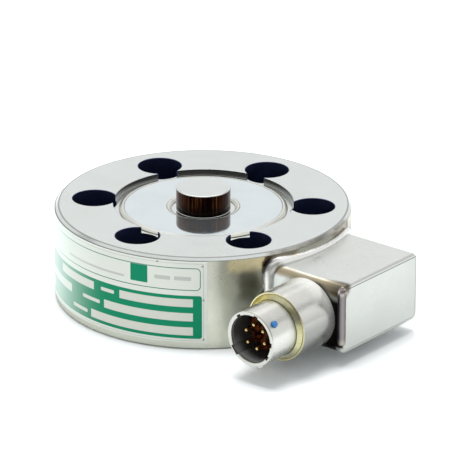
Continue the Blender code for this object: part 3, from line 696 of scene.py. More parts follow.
def ring_steel():
    """Bare ring: painted lighter on top and darker and warmer on the side; heat tint and sooty
    marks beside the junction weld, with painted shade and painted reflections there too.
    """
    f = Finish("ring steel", 1.0)
    marks, wear = f.marks(), f.wear(70.0)
    x, y, z = f.split(f.place)
    radius = f.length(x, y)
    side = f.mul(
        f.step(radius, RING_R - 0.6 * mm, RING_R - 0.4 * mm),
        f.fall(z, RIM_FOOT_Z - 0.15 * mm, RIM_FOOT_Z),
    )
    # Painted light: the top lighter than the side, and the side darker still towards its top
    top = f.mix(f.mul(marks["Streak"], 0.35), (0.70, 0.735, 0.722), (0.585, 0.61, 0.60))
    flank = f.mix(marks["Streak"], (0.60, 0.61, 0.53), (0.48, 0.49, 0.41))
    flank = f.mix(f.step(z, 8.0 * mm, 20.0 * mm, 0.0, 0.7), flank, (0.38, 0.38, 0.325))
    shade = f.mix(side, top, flank)
    shade = f.mix(f.mul(wear["Smudge"], 0.16), shade, (0.46, 0.46, 0.42))

    # Painted reflection: dark lines along the two edges of the rim's chamfer
    painted_edge_line_colour = (0.16, 0.165, 0.14)
    upper_line = f.mul(
        f.band(radius, RIM_INNER_R - 0.1 * mm, 0.16 * mm, 0.14 * mm),
        f.step(z, RING_TOP - 0.4 * mm, RING_TOP - 0.2 * mm),
    )
    lower_line = f.mul(
        f.band(z, RIM_FOOT_Z - 0.02 * mm, 0.09 * mm, 0.1 * mm),
        f.step(radius, RING_R - 0.5 * mm, RING_R - 0.3 * mm),
    )
    shade = f.mix(f.mul(upper_line, 0.62), shade, painted_edge_line_colour)
    shade = f.mix(f.mul(lower_line, 0.55), shade, painted_edge_line_colour)

    # Heat tint and sooty marks of the junction weld, with painted shade in the gap beside its bead
    # and painted reflections of the box and bead, by the angle in degrees away from its bead
    cloud = f.sub(f.noise(f.place, 170.0, 3.0, 0.55, 0.3), 0.5)
    degrees = f.mul(f.angle(x, y), 180.0 / math.pi)
    bead_middle, bead_half_span = -1.2, 24.1
    away = f.sub(f.math("ABSOLUTE", f.sub(degrees, bead_middle)), bead_half_span)
    away = f.vary(away, cloud, 7.0)
    level = f.vary(z, cloud, 4.0 * mm)
    upper_third = f.mul(
        f.step(level, 20.0 * mm, 22.5 * mm), f.step(y, 0.0, 9.0 * mm, 1.0, 0.3)
    )
    # Colour, its centre, half width and softness in degrees, its share by height, its strength
    stains_and_painted_shade = [
        ((0.36, 0.36, 0.27), 17.0, 0.6, 3.0, 1.0, 0.3),
        ((0.20, 0.185, 0.12), 6.0, 3.0, 9.0, f.step(level, 4.0 * mm, 15.0 * mm), 0.22),
        ((0.78, 0.68, 0.42), 7.5, 6.0, 4.0, upper_third, 0.8),
        # a dark patch: soot with a painted reflection of the receptacle and box
        ((0.05, 0.045, 0.028), 8.0, 1.4, 4.6, f.band(level, 17.4 * mm, 2.2 * mm, 4.4 * mm), 0.6),
        # painted shade, near black, in the gap between the ring and the bead
        ((0.02, 0.017, 0.014), 0.3, 0.9, 1.2, f.step(level, 10.0 * mm, 15.0 * mm), 0.92),
        # a brown band just over the box: painted reflection of the bead and box
        ((0.14, 0.09, 0.05), -6.0, 5.0, 5.0, f.step(z, 22.0 * mm, 22.6 * mm), 0.6),
    ]
    for colour, centre, half_width, softness, by_height, strength in stains_and_painted_shade:
        spread = f.mul(f.band(away, centre, half_width, softness), by_height, side, strength)
        shade = f.mix(spread, shade, colour)

    # Painted reflection: the chamfer over the box is darkened in patches, as if it mirrored the
    # dark weld beneath it
    over_box = f.mul(
        f.step(radius, RIM_INNER_R + 0.05 * mm, RIM_INNER_R + 0.25 * mm),
        f.step(z, RIM_FOOT_Z - 0.2 * mm, RIM_FOOT_Z),
        f.fall(away, -1.5, 2.5, 0.8),
    )
    painted_weld_reflection = f.mix(f.step(cloud, -0.12, 0.12), (0.20, 0.185, 0.15), (0.42, 0.40, 0.35))
    shade = f.mix(over_box, shade, painted_weld_reflection)

    polished = f.mul(
        f.fall(radius, HUB_R, HUB_R + 0.2 * mm),
        f.fall(z, LEDGE_Z + 0.2 * mm, LEDGE_Z + 0.4 * mm),
    )
    rough = f.vary(f.vary(0.20, wear["Smudge"], 0.08), side, 0.06)
    return f.done(shade, f.vary(rough, polished, -0.13), marks["Height"], 0.25)


def button_side_steel():
    """Side of the load button: dark brown film with amber streaks that fade towards its foot into
    painted shade.
    """
    f = Finish("button side", 1.0)
    x, y, z = f.split(f.place)
    lines = f.noise(f.join(f.mul(f.angle(x, y), 9.0), 0.0, f.mul(z, 30.0)), 1.6, 4.0, 0.6)
    film = [
        (0.0, (0.004, 0.003, 0.004)),
        (0.44, (0.010, 0.004, 0.004)),
        (0.56, (0.055, 0.018, 0.008)),
        (0.66, (0.25, 0.085, 0.026)),
        (1.0, (0.36, 0.17, 0.06)),
    ]
    # Painted shade in the corner at the button's foot
    painted_shade_at_foot = f.fall(z, LEDGE_Z + 1.2 * mm, LEDGE_Z + 3.4 * mm, 0.85)
    shade = f.mix(painted_shade_at_foot, f.ramp(lines, film), (0.006, 0.006, 0.006))
    return f.done(shade, f.vary(0.16, lines, 0.16), lines, 0.15, 0.03 * mm)


def bore_steel():
    """Deep screw holes: walls painted dark blue-black as shade, with drill rings."""
    f = Finish("drilled bore", 1.0)
    _, _, z = f.split(f.place)
    rings = f.noise(f.join(0.0, 0.0, f.mul(z, 3200.0)), 1.0)
    film = f.noise(f.place, 240.0, 3.0)
    # Painted shade down the holes and on the chamfers at their mouths
    shade = f.mix(film, (0.11, 0.13, 0.25), (0.04, 0.06, 0.17))
    return f.done(shade, f.vary(0.34, film, 0.2), rings, 0.3, 0.04 * mm)


def recess_wall_steel():
    """Wall of the shallow recess: turning marks with painted shade, darkest at the far side and
    near its rim.
    """
    f = Finish("recess wall", 1.0)
    marks = f.marks()
    x, y, z = f.split(f.place)
    to_far_side = (-0.638, 0.770)
    far = f.add(f.mul(x, to_far_side[0] / RECESS_R), f.mul(y, to_far_side[1] / RECESS_R))
    upper = f.step(z, LEDGE_Z + 0.3 * mm, LEDGE_Z + 1.3 * mm, 0.0, 0.45)
    # Painted shade, from the pale foot of the wall to near black at the far side and near the rim
    film = [
        (0.0, (0.46, 0.46, 0.43)),
        (0.45, (0.26, 0.26, 0.25)),
        (0.8, (0.06, 0.063, 0.066)),
        (1.0, (0.03, 0.034, 0.036)),
    ]
    shade = f.ramp(f.add(f.step(far, -0.45, 0.95, 0.0, 0.55), upper), film)
    shade = f.mix(f.mul(marks["Streak"], 0.3), shade, (0.10, 0.10, 0.09))
    return f.done(shade, f.vary(0.22, marks["Streak"], 0.1), marks["Height"], 0.2)


def mirror_membrane():
    """Polished sheet: faint waves and a few wiped-off smudges."""
    f = Finish("polished membrane", 0.94)
    wear = f.wear(120.0)
    shade = f.mix(f.mul(wear["Smudge"], 0.3), (0.67, 0.73, 0.75), (0.58, 0.63, 0.655))
    rough = f.vary(f.vary(0.055, wear["Smudge"], 0.05), wear["Scratch"], 0.1)
    return f.done(shade, rough, f.noise(f.place, 130.0, 1.0), 0.06, 0.2 * mm)


def membrane_weld(name, inner, outer):
    """Thin weld ring: fine ripples, straw tint, dark where it meets its neighbours."""
    f = Finish(name, 1.0)
    x, y, _ = f.split(f.place)
    radius = f.length(x, y)
    ripple = f.noise(f.join(f.mul(f.angle(x, y), 90.0), f.mul(radius, 500.0), 0.0), 1.0)
    away = f.math("ABSOLUTE", f.sub(radius, (inner + outer) / 2))
    width = outer - inner
    rim = f.step(away, 0.34 * width, 0.48 * width, 0.0, 0.5)
    shade = f.mix(ripple, (0.69, 0.70, 0.66), (0.60, 0.60, 0.54))
    shade = f.mix(rim, shade, (0.27, 0.25, 0.19))
    return f.done(shade, f.vary(0.24, ripple, 0.16), ripple, 0.3, 0.04 * mm)


def box_steel():
    """Satin sheet: blasted faces, an end face painted darker as shade, straw heat along the front
    fold, a sooty patch with painted shade beside the sleeve.
    """
    f = Finish("satin sheet", 1.0)
    x, y, z = f.split(f.place)
    wear = f.wear(110.0)
    cloud = f.noise(f.place, 150.0, 3.0)
    down = f.sub(BOX_HIGH.z, z)
    back = f.sub(y, BOX_LOW.y)
    shade = f.mix(cloud, (0.70, 0.72, 0.70), (0.63, 0.65, 0.625))
    shade = f.mix(f.mul(wear["Smudge"], 0.2), shade, (0.50, 0.50, 0.46))

    # Painted shade: the end face darker than the other faces, and darker towards its bottom
    end_shade = f.mix(f.step(z, BOX_LOW.z, BOX_HIGH.z), (0.47, 0.485, 0.455), (0.575, 0.59, 0.565))
    end_shade = f.mix(f.mul(cloud, 0.2), end_shade, (0.44, 0.45, 0.42))
    end_face = f.step(x, BOX_HIGH.x - 0.35 * mm, BOX_HIGH.x - 0.15 * mm)
    shade = f.mix(end_face, shade, end_shade)

    # Straw along the front fold, wider and darker towards the box's corner
    to_corner = f.step(x, BOX_HIGH.x - 8.0 * mm, BOX_HIGH.x - 1.0 * mm)
    straw = f.mix(to_corner, (0.39, 0.325, 0.205), (0.085, 0.068, 0.038))
    straw = f.mix(f.step(down, 1.4 * mm, 3.2 * mm), straw, (0.16, 0.095, 0.03))
    from_fold = f.vary(f.vary(f.length(down, back), cloud, mm), to_corner, -1.6 * mm)
    shade = f.mix(f.fall(from_fold, 1.4 * mm, 3.2 * mm, 0.92), shade, straw)

    # Sooty patch with painted shade on the front face to the right of the sleeve, and a painted
    # shadow line round the sleeve's foot
    front = f.fall(back, 0.25 * mm, 0.9 * mm)
    right_x = f.vary(x, cloud, 2.0 * mm)
    from_corner = f.math("MAXIMUM", f.sub(BOX_HIGH.x, x), f.sub(z, BOX_LOW.z))
    soot_and_shade = f.mul(
        front,
        f.step(right_x, CONNECTOR_X + 3.5 * mm, CONNECTOR_X + 8.0 * mm),
        f.step(down, 3.0 * mm, 5.0 * mm, 0.25, 1.0),
        f.step(from_corner, 1.2 * mm, 2.4 * mm),
    )
    shade = f.mix(soot_and_shade, shade, (0.007, 0.005, 0.004))
    beside = f.sub(x, CONNECTOR_X)
    off_axis = f.length(beside, f.sub(z, CONNECTOR_Z))
    painted_shadow_round_sleeve = f.mul(
        f.fall(off_axis, SLEEVE_R, SLEEVE_R + 1.6 * mm, 0.85),
        front,
        f.step(beside, -3.0 * mm, 3.0 * mm, 0.3, 1.0),
    )
    shade = f.mix(painted_shadow_round_sleeve, shade, (0.012, 0.010, 0.008))

    end_seam = f.mul(
        f.band(down, BOX_WALL + 0.1 * mm, 0.1 * mm, 0.1 * mm),
        f.step(x, BOX_HIGH.x - 0.4 * mm, BOX_HIGH.x - 0.2 * mm),
        0.7,
    )
    shade = f.mix(end_seam, shade, (0.10, 0.10, 0.09))
    grain = f.noise(f.place, 5200.0)
    return f.done(shade, f.vary(0.27, wear["Smudge"], 0.1), grain, 0.2)


def junction_weld_steel():
    """Bright weld metal with heat colours in its valleys, sooty and with painted shade at the
    box's front corner, darkest next to the ring.
    """
    f = Finish("junction weld metal", 0.72)
    x, y, z = f.split(f.place)
    cloud = f.noise(f.place, 260.0, 3.0, 0.6, 0.5)
    tint = f.group(HEAT, Vector=f.place, Heat=f.mul(f.step(cloud, 0.45, 0.8), 0.34))
    shade = f.mix(f.mul(tint["Mask"], 0.8), (0.80, 0.80, 0.78), tint["Colour"])
    from_elbow = f.length(f.sub(y, BOX_LOW.y), f.sub(BOX_HIGH.z - 0.6 * mm, z))
    from_elbow = f.vary(from_elbow, f.sub(cloud, 0.5), 2.0 * mm)
    # Sooty, with painted shade where the bead meets the ring at the box's front corner
    soot_and_shade = f.mul(
        f.fall(from_elbow, 1.7 * mm, 3.4 * mm, 0.94),
        f.step(f.length(x, y), RING_R + 0.9 * mm, RING_R + 1.9 * mm, 1.0, 0.15),
    )
    shade = f.mix(soot_and_shade, shade, (0.022, 0.018, 0.015))
    return f.done(shade, f.vary(0.14, cloud, 0.14), f.noise(f.place, 420.0), 0.16, 0.08 * mm)


def corner_weld_steel():
    """Smooth corner weld: painted shade down both sides, darkest beside the front face, a pinkish
    crown painted lighter, violet at its ends, and painted highlights near its top.
    """
    f = Finish("corner weld metal", 1.0)
    x, y, z = f.split(f.place)
    cloud = f.noise(f.place, 420.0, 3.0, 0.5, 0.4)
    across = f.math("DIVIDE", f.add(f.sub(x, CORNER_X), f.sub(y, CORNER_Y)), 2.6 * mm)
    # Across the bead: painted shade on both sides, darkest beside the front face, and a lighter
    # pinkish crown
    tones_and_painted_shade = [
        (0.0, (0.04, 0.03, 0.035)),
        (0.06, (0.14, 0.12, 0.15)),
        (0.22, (0.15, 0.135, 0.145)),
        (0.48, (0.235, 0.215, 0.21)),
        (0.78, (0.19, 0.185, 0.18)),
        (0.92, (0.09, 0.08, 0.07)),
    ]
    shade = f.ramp(f.add(f.vary(across, cloud, 0.05), 0.44), tones_and_painted_shade)
    low_end = f.fall(z, BOX_LOW.z + 2.0 * mm, BOX_LOW.z + 5.0 * mm)
    high_end = f.step(z, BOX_HIGH.z - 3.2 * mm, BOX_HIGH.z - 1.6 * mm)
    heat = f.add(f.mul(low_end, 0.36), f.mul(high_end, 0.5))
    tint = f.group(HEAT, Vector=f.place, Heat=f.vary(heat, f.sub(cloud, 0.5), 0.8))
    ends = f.mul(f.math("MAXIMUM", low_end, f.mul(high_end, 0.3)), 0.55)
    # Painted highlights near the top of the weld
    painted_highlights = f.mul(high_end, f.step(cloud, 0.42, 0.58))
    shade = f.mix(painted_highlights, shade, (0.66, 0.63, 0.68))
    shade = f.mix(ends, shade, tint["Colour"])
    return f.done(shade, f.vary(0.16, cloud, 0.12), f.noise(f.place, 500.0), 0.2, 0.06 * mm)


def passivated_ring():
    """Yellow chromate film: olive and straw patches, with a painted golden highlight to the left
    and painted light on its lower side.
    """
    f = Finish("yellow passivated ring", 1.0, CONNECTOR_CENTRE)
    x, y, _ = f.split(f.axial)
    across, _, level = f.split(f.place)
    patch = f.noise(f.join(f.mul(f.angle(x, y), 1.4), 0.0, 0.0), 2.0, 3.0, 0.6)
    film = [
        (0.3, (0.34, 0.33, 0.16)),
        (0.48, (0.58, 0.56, 0.33)),
        (0.58, (0.62, 0.60, 0.44)),
        (0.70, (0.50, 0.36, 0.29)),
    ]
    # Painted light: a golden highlight to the left, and paler on the lower side
    left = f.fall(across, CONNECTOR_X - 0.7 * SLEEVE_R, CONNECTOR_X + 0.1 * SLEEVE_R, 0.95)
    painted_light_below = f.fall(level, CONNECTOR_Z - 0.9 * SLEEVE_R, CONNECTOR_Z - 0.3 * SLEEVE_R, 0.5)
    grain = f.noise(f.place, 2400.0)
    shade = f.mix(left, f.ramp(patch, film), (0.86, 0.70, 0.16))
    shade = f.mix(painted_light_below, shade, (0.80, 0.80, 0.68))
    shade = f.mix(f.mul(grain, 0.3), shade, (0.20, 0.18, 0.07))
    return f.done(shade, f.vary(0.26, grain, 0.1), grain, 0.2)


def insulator():
    """Dark moulded insert with warm amber depth."""
    f = Finish("dark insulator", 0.0)
    f.set(Specular_IOR_Level=0.15)
    cloud = f.noise(f.place, 420.0, 3.0, 0.6)
    depth = [
        (0.35, (0.004, 0.002, 0.002)),
        (0.50, (0.016, 0.005, 0.003)),
        (0.66, (0.20, 0.045, 0.012)),
    ]
    grain = f.noise(f.place, 1500.0)
    return f.done(f.ramp(cloud, depth), f.vary(0.18, cloud, 0.2), grain, 0.15, 0.03 * mm)


def two_tone(name, light, dark, scale, roughness, bump, metallic=0.0, coat_weight=0.0):
    """Two tones of one colour, with roughness (base, share of the texture) and bump (strength,
    distance) from the same fine texture."""
    f = Finish(name, metallic)
    f.set(Coat_Weight=coat_weight)
    cloud = f.noise(f.place, scale, 3.0)
    base, share = roughness
    return f.done(f.mix(cloud, light, dark), f.vary(base, cloud, share), cloud, *bump)


def plain_stock(name, light, dark, roughness, metallic=0.0, scale=600.0):
    """Board, film, wire and winding."""
    return two_tone(name, light, dark, scale, (roughness, 0.15), (0.2, 0.04 * mm), metallic)


# Print on the name plate, bottom layer first: which output of the print group, corner radius and
# line width in mm, strength, colour, and rectangles of left and right in degrees, bottom and top
# in mm
GREEN = (0.0, 0.205, 0.10)
DARK_GREEN = (0.03, 0.15, 0.09)
LIGHT_FIELD = (0.56, 0.565, 0.505)
GREY = (0.30, 0.31, 0.29)
BROWN = (0.25, 0.16, 0.10)
NO_LINE = 0.2
DOTS = [(-67.8, 24.4), (-50.7, 23.6), (-50.3, 14.1), (-50.3, 3.0)]
PRINT_LAYERS = [
    ("Outline", 0.4, 0.14, 0.6, GREY, [(-160.5, -50.3, 2.6, 24.3)]),
    ("Outline", 1.1, 0.22, 1.0, DARK_GREEN, [(-157.0, -51.5, 16.85, 22.95)]),
    ("Field", 0.7, NO_LINE, 1.0, GREEN, [(-157.0, -50.9, 3.2, 15.3)]),
    ("Field", 0.1, NO_LINE, 1.0, GREEN, [(-78.8, -71.75, 18.0, 22.8)]),
    ("Field", 0.15, NO_LINE, 1.0, LIGHT_FIELD, [
        (-83.7, -54.3, 12.1, 14.35),
        (-91.1, -54.3, 8.1, 10.4),
        (-98.1, -54.3, 4.1, 6.4),
        (-119.3, -96.4, 12.1, 14.35),
        (-143.0, -110.8, 8.1, 10.4),
        (-150.0, -131.0, 4.1, 6.4),
    ]),
    ("Field", 0.3, NO_LINE, 1.0, LIGHT_FIELD, [
        (-92.6, -86.2, 12.75, 13.75),
        (-103.0, -93.3, 8.75, 9.75),
        (-109.5, -100.2, 4.75, 5.75),
    ]),
    ("Field", 0.25, NO_LINE, 0.55, GREY, [
        (-69.0, -62.8, 19.5, 20.6),
        (-61.4, -54.9, 19.5, 20.6),
        (-112.0, -81.5, 18.5, 19.1),
    ]),
    ("Field", 0.28, NO_LINE, 0.7, BROWN, [
        (degrees - 0.45, degrees + 0.45, level - 0.3, level + 0.3) for degrees, level in DOTS
    ]),
]


def printed_plate():
    """Name plate: green and grey fields of print on satin cream foil, with a painted pale sheen
    where it is seen nearly edge-on.
    """
    f = Finish("printed foil", 0.25)
    f.set(Specular_IOR_Level=0.15)
    x, y, z = f.split(f.place)
    arc_per_radian = PLATE_OUTER_R / mm
    arc = f.mul(f.angle(x, y), arc_per_radian)
    height = f.math("DIVIDE", z, mm)
    shade = f.mix(f.noise(f.place, 60.0), (0.655, 0.68, 0.62), (0.60, 0.62, 0.565))
    for output, corner, line, strength, colour, rectangles in PRINT_LAYERS:
        for left, right, bottom, top in rectangles:
            field = f.group(
                PRINT,
                S=arc,
                Z=height,
                Left=math.radians(left) * arc_per_radian,
                Right=math.radians(right) * arc_per_radian,
                Bottom=bottom,
                Top=top,
                Corner=corner,
                Line=line,
            )
            shade = f.mix(f.mul(field[output], strength), shade, colour)
    # Painted sheen: the foil turns pale where it is seen nearly edge-on
    painted_edge_on_sheen = f.step(f.node("ShaderNodeLayerWeight").outputs["Facing"], 0.3, 0.85, 0.0, 0.62)
    shade = f.mix(painted_edge_on_sheen, shade, (0.82, 0.93, 0.88))
    rough = f.vary(0.34, f.wear(80.0)["Smudge"], 0.1)
    return f.done(shade, rough, f.noise(f.place, 700.0), 0.08, 0.05 * mm)


# Pieces

def make_ring(top_mat, button_mat, bore_mat, wall_mat):
    """The one bar-turned piece: ring, recess, button, hub, web and the pockets round the web."""
    corners = [
        (0.0, BUTTON_TOP),
        (BUTTON_R, BUTTON_TOP, BUTTON_EDGE),
        (BUTTON_R, LEDGE_Z, 0.14 * mm),
        (HUB_R, LEDGE_Z),
        (HUB_R, WEB_TOP, WEB_CORNER),
        (CAVITY_R, WEB_TOP, WEB_CORNER),
        (CAVITY_R, LEDGE_Z),
        (RECESS_R, LEDGE_Z, 0.12 * mm),
        (RECESS_R, RING_TOP, 0.12 * mm),
        (RIM_INNER_R, RING_TOP, 0.07 * mm),
        (RING_R, RIM_FOOT_Z, 0.07 * mm),
        (RING_R, FOOT_CHAMFER, 0.08 * mm),
        (RING_R - FOOT_CHAMFER, 0.0, 0.08 * mm),
        (COVER_R + SEAT_GAP, 0.0, 0.1 * mm),
        (COVER_R + SEAT_GAP, COVER_TOP + SEAT_GAP),
        (BOARD_R + SEAT_GAP, COVER_TOP + SEAT_GAP),
        (BOARD_R + SEAT_GAP, BOARD_TOP + SEAT_GAP),
        (CAVITY_R, BOARD_TOP + SEAT_GAP),
        (CAVITY_R, WEB_BOTTOM, WEB_CORNER),
        (HUB_R, WEB_BOTTOM, WEB_CORNER),
        (HUB_R, COVER_TOP + SEAT_GAP, FOOT_CHAMFER),
        (0.0, COVER_TOP + SEAT_GAP),
    ]
    ring = lathe("load_ring", corners, RING_SEGMENTS)
    flared_r = SCREW_HOLE_R + SCREW_CHAMFER + OVER
    drill = [
        (0.0, RING_TOP + OVER),
        (flared_r, RING_TOP + OVER),
        (SCREW_HOLE_R, RING_TOP - SCREW_CHAMFER),
        (SCREW_HOLE_R, SCREW_CHAMFER),
        (flared_r, -OVER),
        (0.0, -OVER),
    ]
    drills = [
        place(lathe(f"drill_{index}", drill, 96), location=spot)
        for index, spot in enumerate(SCREW_PLACES)
    ]
    cut(ring, joined("drills", drills))
    inner, outer = WINDOW_R - WINDOW_W / 2, WINDOW_R + WINDOW_W / 2
    window = [
        (inner, WEB_BOTTOM - OVER),
        (inner, WEB_TOP + OVER),
        (outer, WEB_TOP + OVER),
        (outer, WEB_BOTTOM - OVER),
    ]
    slots = [
        lathe(f"slot_{index}", window, 32, turn=WINDOW_SPAN, start=middle - WINDOW_SPAN / 2)
        for index, middle in enumerate(WINDOW_MIDDLES)
    ]
    passage_start, passage_end = (WINDOW_R, 0.0, PASSAGE_Z), (RING_R + OVER, 0.0, PASSAGE_Z)
    slots.append(rod("passage", PASSAGE_R, passage_start, passage_end, 48))
    cut(ring, joined("slots", slots))
    shaded(ring, top_mat, "turned_steel", "sensor_body")

    def material_index(centre, normal):
        radius = math.hypot(centre.x, centre.y)
        if radius < BUTTON_R + 0.2 * mm and centre.z > LEDGE_Z and abs(normal.z) < 0.5:
            return 1
        # screw hole walls and the chamfers at their mouths take the bore's painted shade
        for spot in SCREW_PLACES:
            away = math.hypot(centre.x - spot.x, centre.y - spot.y)
            if away < SCREW_HOLE_R + 0.15 * mm and abs(normal.z) < 0.9:
                return 2
        # the recess wall takes its painted shade
        if abs(radius - RECESS_R) < 0.1 * mm and centre.z > LEDGE_Z and abs(normal.z) < 0.8:
            return 3
        return 0

    coat(ring, top_mat, button_mat, bore_mat, wall_mat)
    for face in ring.data.polygons:
        face.material_index = material_index(face.center, face.normal)


def make_membrane(sheet_mat):
    """Thin sheet over the cavity, with its weld to the ring and its weld to the hub."""
    edge = 0.08 * mm
    sheet = rectangle(
        HUB_WELD_R + SEAT_GAP, MEMBRANE_R, MEMBRANE_BOTTOM, MEMBRANE_TOP, edge, edge
    )
    sheet = lathe("membrane_sheet", sheet, RING_SEGMENTS)
    shaded(sheet, sheet_mat, "polished_steel", "top_membrane")

    floor = LEDGE_Z + 0.05 * mm
    rim_inner = MEMBRANE_R + 0.06 * mm
    rim_weld = [
        (rim_inner, floor),
        (rim_inner, MEMBRANE_TOP + 0.03 * mm, 0.05 * mm),
        (MEMBRANE_R + 0.62 * mm, MEMBRANE_TOP + 0.02 * mm, 0.2 * mm),
        (WELD_R, floor + 0.12 * mm, 0.05 * mm),
        (WELD_R, floor),
    ]
    hub_inner, hub_outer = HUB_WELD_R - 1.0 * mm, HUB_WELD_R + 0.24 * mm
    hub_weld = [
        (hub_outer, floor),
        (hub_inner, floor),
        (hub_inner, floor + 0.1 * mm, 0.05 * mm),
        (HUB_WELD_R - 0.3 * mm, MEMBRANE_TOP, 0.2 * mm),
        (hub_outer, MEMBRANE_TOP + 0.03 * mm, 0.05 * mm),
    ]
    for name, corners, inner, outer, node in (
        ("membrane_rim_weld", rim_weld, MEMBRANE_R, WELD_R, "membrane_outer_weld"),
        ("membrane_hub_weld", hub_weld, hub_inner, hub_outer, "membrane_inner_weld"),
    ):
        mat = membrane_weld(f"{name} metal", inner, outer)
        weld = lathe(name, corners, RING_SEGMENTS)
        shaded(weld, mat, "weld", node, angle=WELD_SHARP_ANGLE)


def is_near(a, b):
    return abs(a - b) < 0.01 * mm


def is_along_x(a, b):
    return abs(a.x - b.x) > 5.0 * mm


def is_front_fold(a, b):
    return is_along_x(a, b) and is_near(a.z, BOX_HIGH.z) and is_near(a.y, BOX_LOW.y)


def is_fold(a, b):
    on_y = is_near(a.y, BOX_LOW.y) or is_near(a.y, BOX_HIGH.y)
    on_z = is_near(a.z, BOX_LOW.z) or is_near(a.z, BOX_HIGH.z)
    return is_along_x(a, b) and on_y and on_z


def is_end_rim(a, b):
    return is_near(a.x, BOX_HIGH.x) and is_near(b.x, BOX_HIGH.x)


def is_through_plate(a, b):
    return is_near(a.y, b.y) and is_near(a.z, b.z)


def make_box(mat):
    """Folded sheet box, coped to the ring, with the port behind the receptacle."""
    start = RING_R / 2
    wall = Vector((0.0, BOX_WALL, BOX_WALL))
    shell = block("junction_box", (start, BOX_LOW.y, BOX_LOW.z), BOX_HIGH)
    bevel_edges(shell, is_front_fold, FRONT_FOLD_R, 10)
    bevel_edges(shell, is_fold, OTHER_FOLD_R, 9)
    bevel_edges(shell, is_end_rim, END_RIM_R, 6)
    hollow = block(
        "hollow",
        Vector((start - BOX_WALL, BOX_LOW.y, BOX_LOW.z)) + wall,
        Vector((BOX_HIGH.x + BOX_WALL, BOX_HIGH.y, BOX_HIGH.z)) - wall,
    )
    bevel_edges(hollow, is_along_x, INNER_FOLD_R, 5)
    cope_r = RING_R + 0.05 * mm
    cope = rod("cope", cope_r, (0.0, 0.0, 0.0), (0.0, 0.0, RING_TOP), RING_SEGMENTS)
    port_start = Vector((CONNECTOR_X, BOX_LOW.y - BOX_WALL, CONNECTOR_Z))
    port_end = Vector((CONNECTOR_X, BOX_LOW.y + 2 * BOX_WALL, CONNECTOR_Z))
    cut(shell, hollow, cope, rod("port", PORT_R, port_start, port_end))
    shaded(shell, mat, "sheet_steel", "box_shell")

    inset = BOX_WALL + SEAM_W
    plate = block(
        "junction_box_end",
        (low("box_end_plate").x, BOX_LOW.y + inset, BOX_LOW.z + inset),
        (BOX_HIGH.x, BOX_HIGH.y - inset, BOX_HIGH.z - inset),
    )
    bevel_edges(plate, is_through_plate, END_CORNER_R, 5)
    bevel_edges(plate, is_end_rim, 0.08 * mm, 2)
    shaded(plate, mat, "sheet_steel", "box_end_plate")


def box_seam():
    """Points round the box's section, just outside its sides, for the weld to the ring."""
    lowest = Vector((BOX_LOW.y - BEAD_OFFSET, BOX_LOW.z - BEAD_OFFSET))
    highest = Vector((BOX_HIGH.y + BEAD_OFFSET, BOX_HIGH.z + BEAD_OFFSET))
    corners = [
        (lowest.x, highest.y, FRONT_FOLD_R, 180.0, 1, -1),
        (highest.x, highest.y, SEAM_CORNER_R, 90.0, -1, -1),
        (highest.x, lowest.y, SEAM_CORNER_R, 0.0, -1, 1),
        (lowest.x, lowest.y, SEAM_CORNER_R, -90.0, 1, 1),
    ]
    outline = []
    for y, z, fold_r, start, to_y, to_z in corners:
        radius = fold_r + BEAD_OFFSET
        centre = Vector((0.0, y + to_y * radius, z + to_z * radius))
        for step in range(7):
            angle = math.radians(start - 15.0 * step)
            outward = Vector((0.0, math.cos(angle), math.sin(angle)))
            outline.append(centre + radius * outward)
    return outline


def resampled(points, spacing, closed):
    """The same path with even steps."""
    path = list(points) + ([points[0]] if closed else [])
    total = sum((b - a).length for a, b in zip(path, path[1:]))
    count = max(4, round(total / spacing))
    result = []
    span = 0
    gone = 0.0
    for index in range(count + (0 if closed else 1)):
        wanted = total * index / count
        while span < len(path) - 2 and gone + (path[span + 1] - path[span]).length < wanted:
            gone += (path[span + 1] - path[span]).length
            span += 1
        length = max((path[span + 1] - path[span]).length, 1e-9)
        result.append(path[span].lerp(path[span + 1], min(1.0, (wanted - gone) / length)))
    return result


def bell(distance, width):
    return math.exp(-((distance / width) ** 2))


def make_junction_weld(mat):
    """Bead between box and ring: short ripples over an uneven swell, thicker at the front corner
    and thinner towards the back."""
    seam = resampled(box_seam(), BEAD_STEP, True)
    for point in seam:
        point.x = math.sqrt(BEAD_REACH**2 - point.y**2)
    seam = resampled(seam, BEAD_STEP, True)
    blob = Vector((BOX_LOW.y + 1.5 * mm, BOX_HIGH.z))
    radii = []
    for index, point in enumerate(seam):
        ripple = abs(math.sin(index * math.pi / 5.0))
        swell = (
            math.sin(index * 0.11 + 1.3) * 0.45
            + math.sin(index * 0.047) * 0.3
            + math.sin(index * 0.37) * 0.25
        )
        to_back = min(1.0, max(0.0, (point.y - BOX_LOW.y - 8.0 * mm) / (12.0 * mm)))
        radius = BEAD_R * (1.0 + 0.015 * ripple + 0.08 * swell) * (1.0 - 0.28 * to_back)
        away = (Vector((point.y, point.z)) - blob).length
        radii.append(radius + 0.55 * mm * bell(away, 5.0 * mm))
    bead = tube("junction_weld", seam, radii, closed=True)
    finished(bead, mat, "weld", "box_weld_bead")


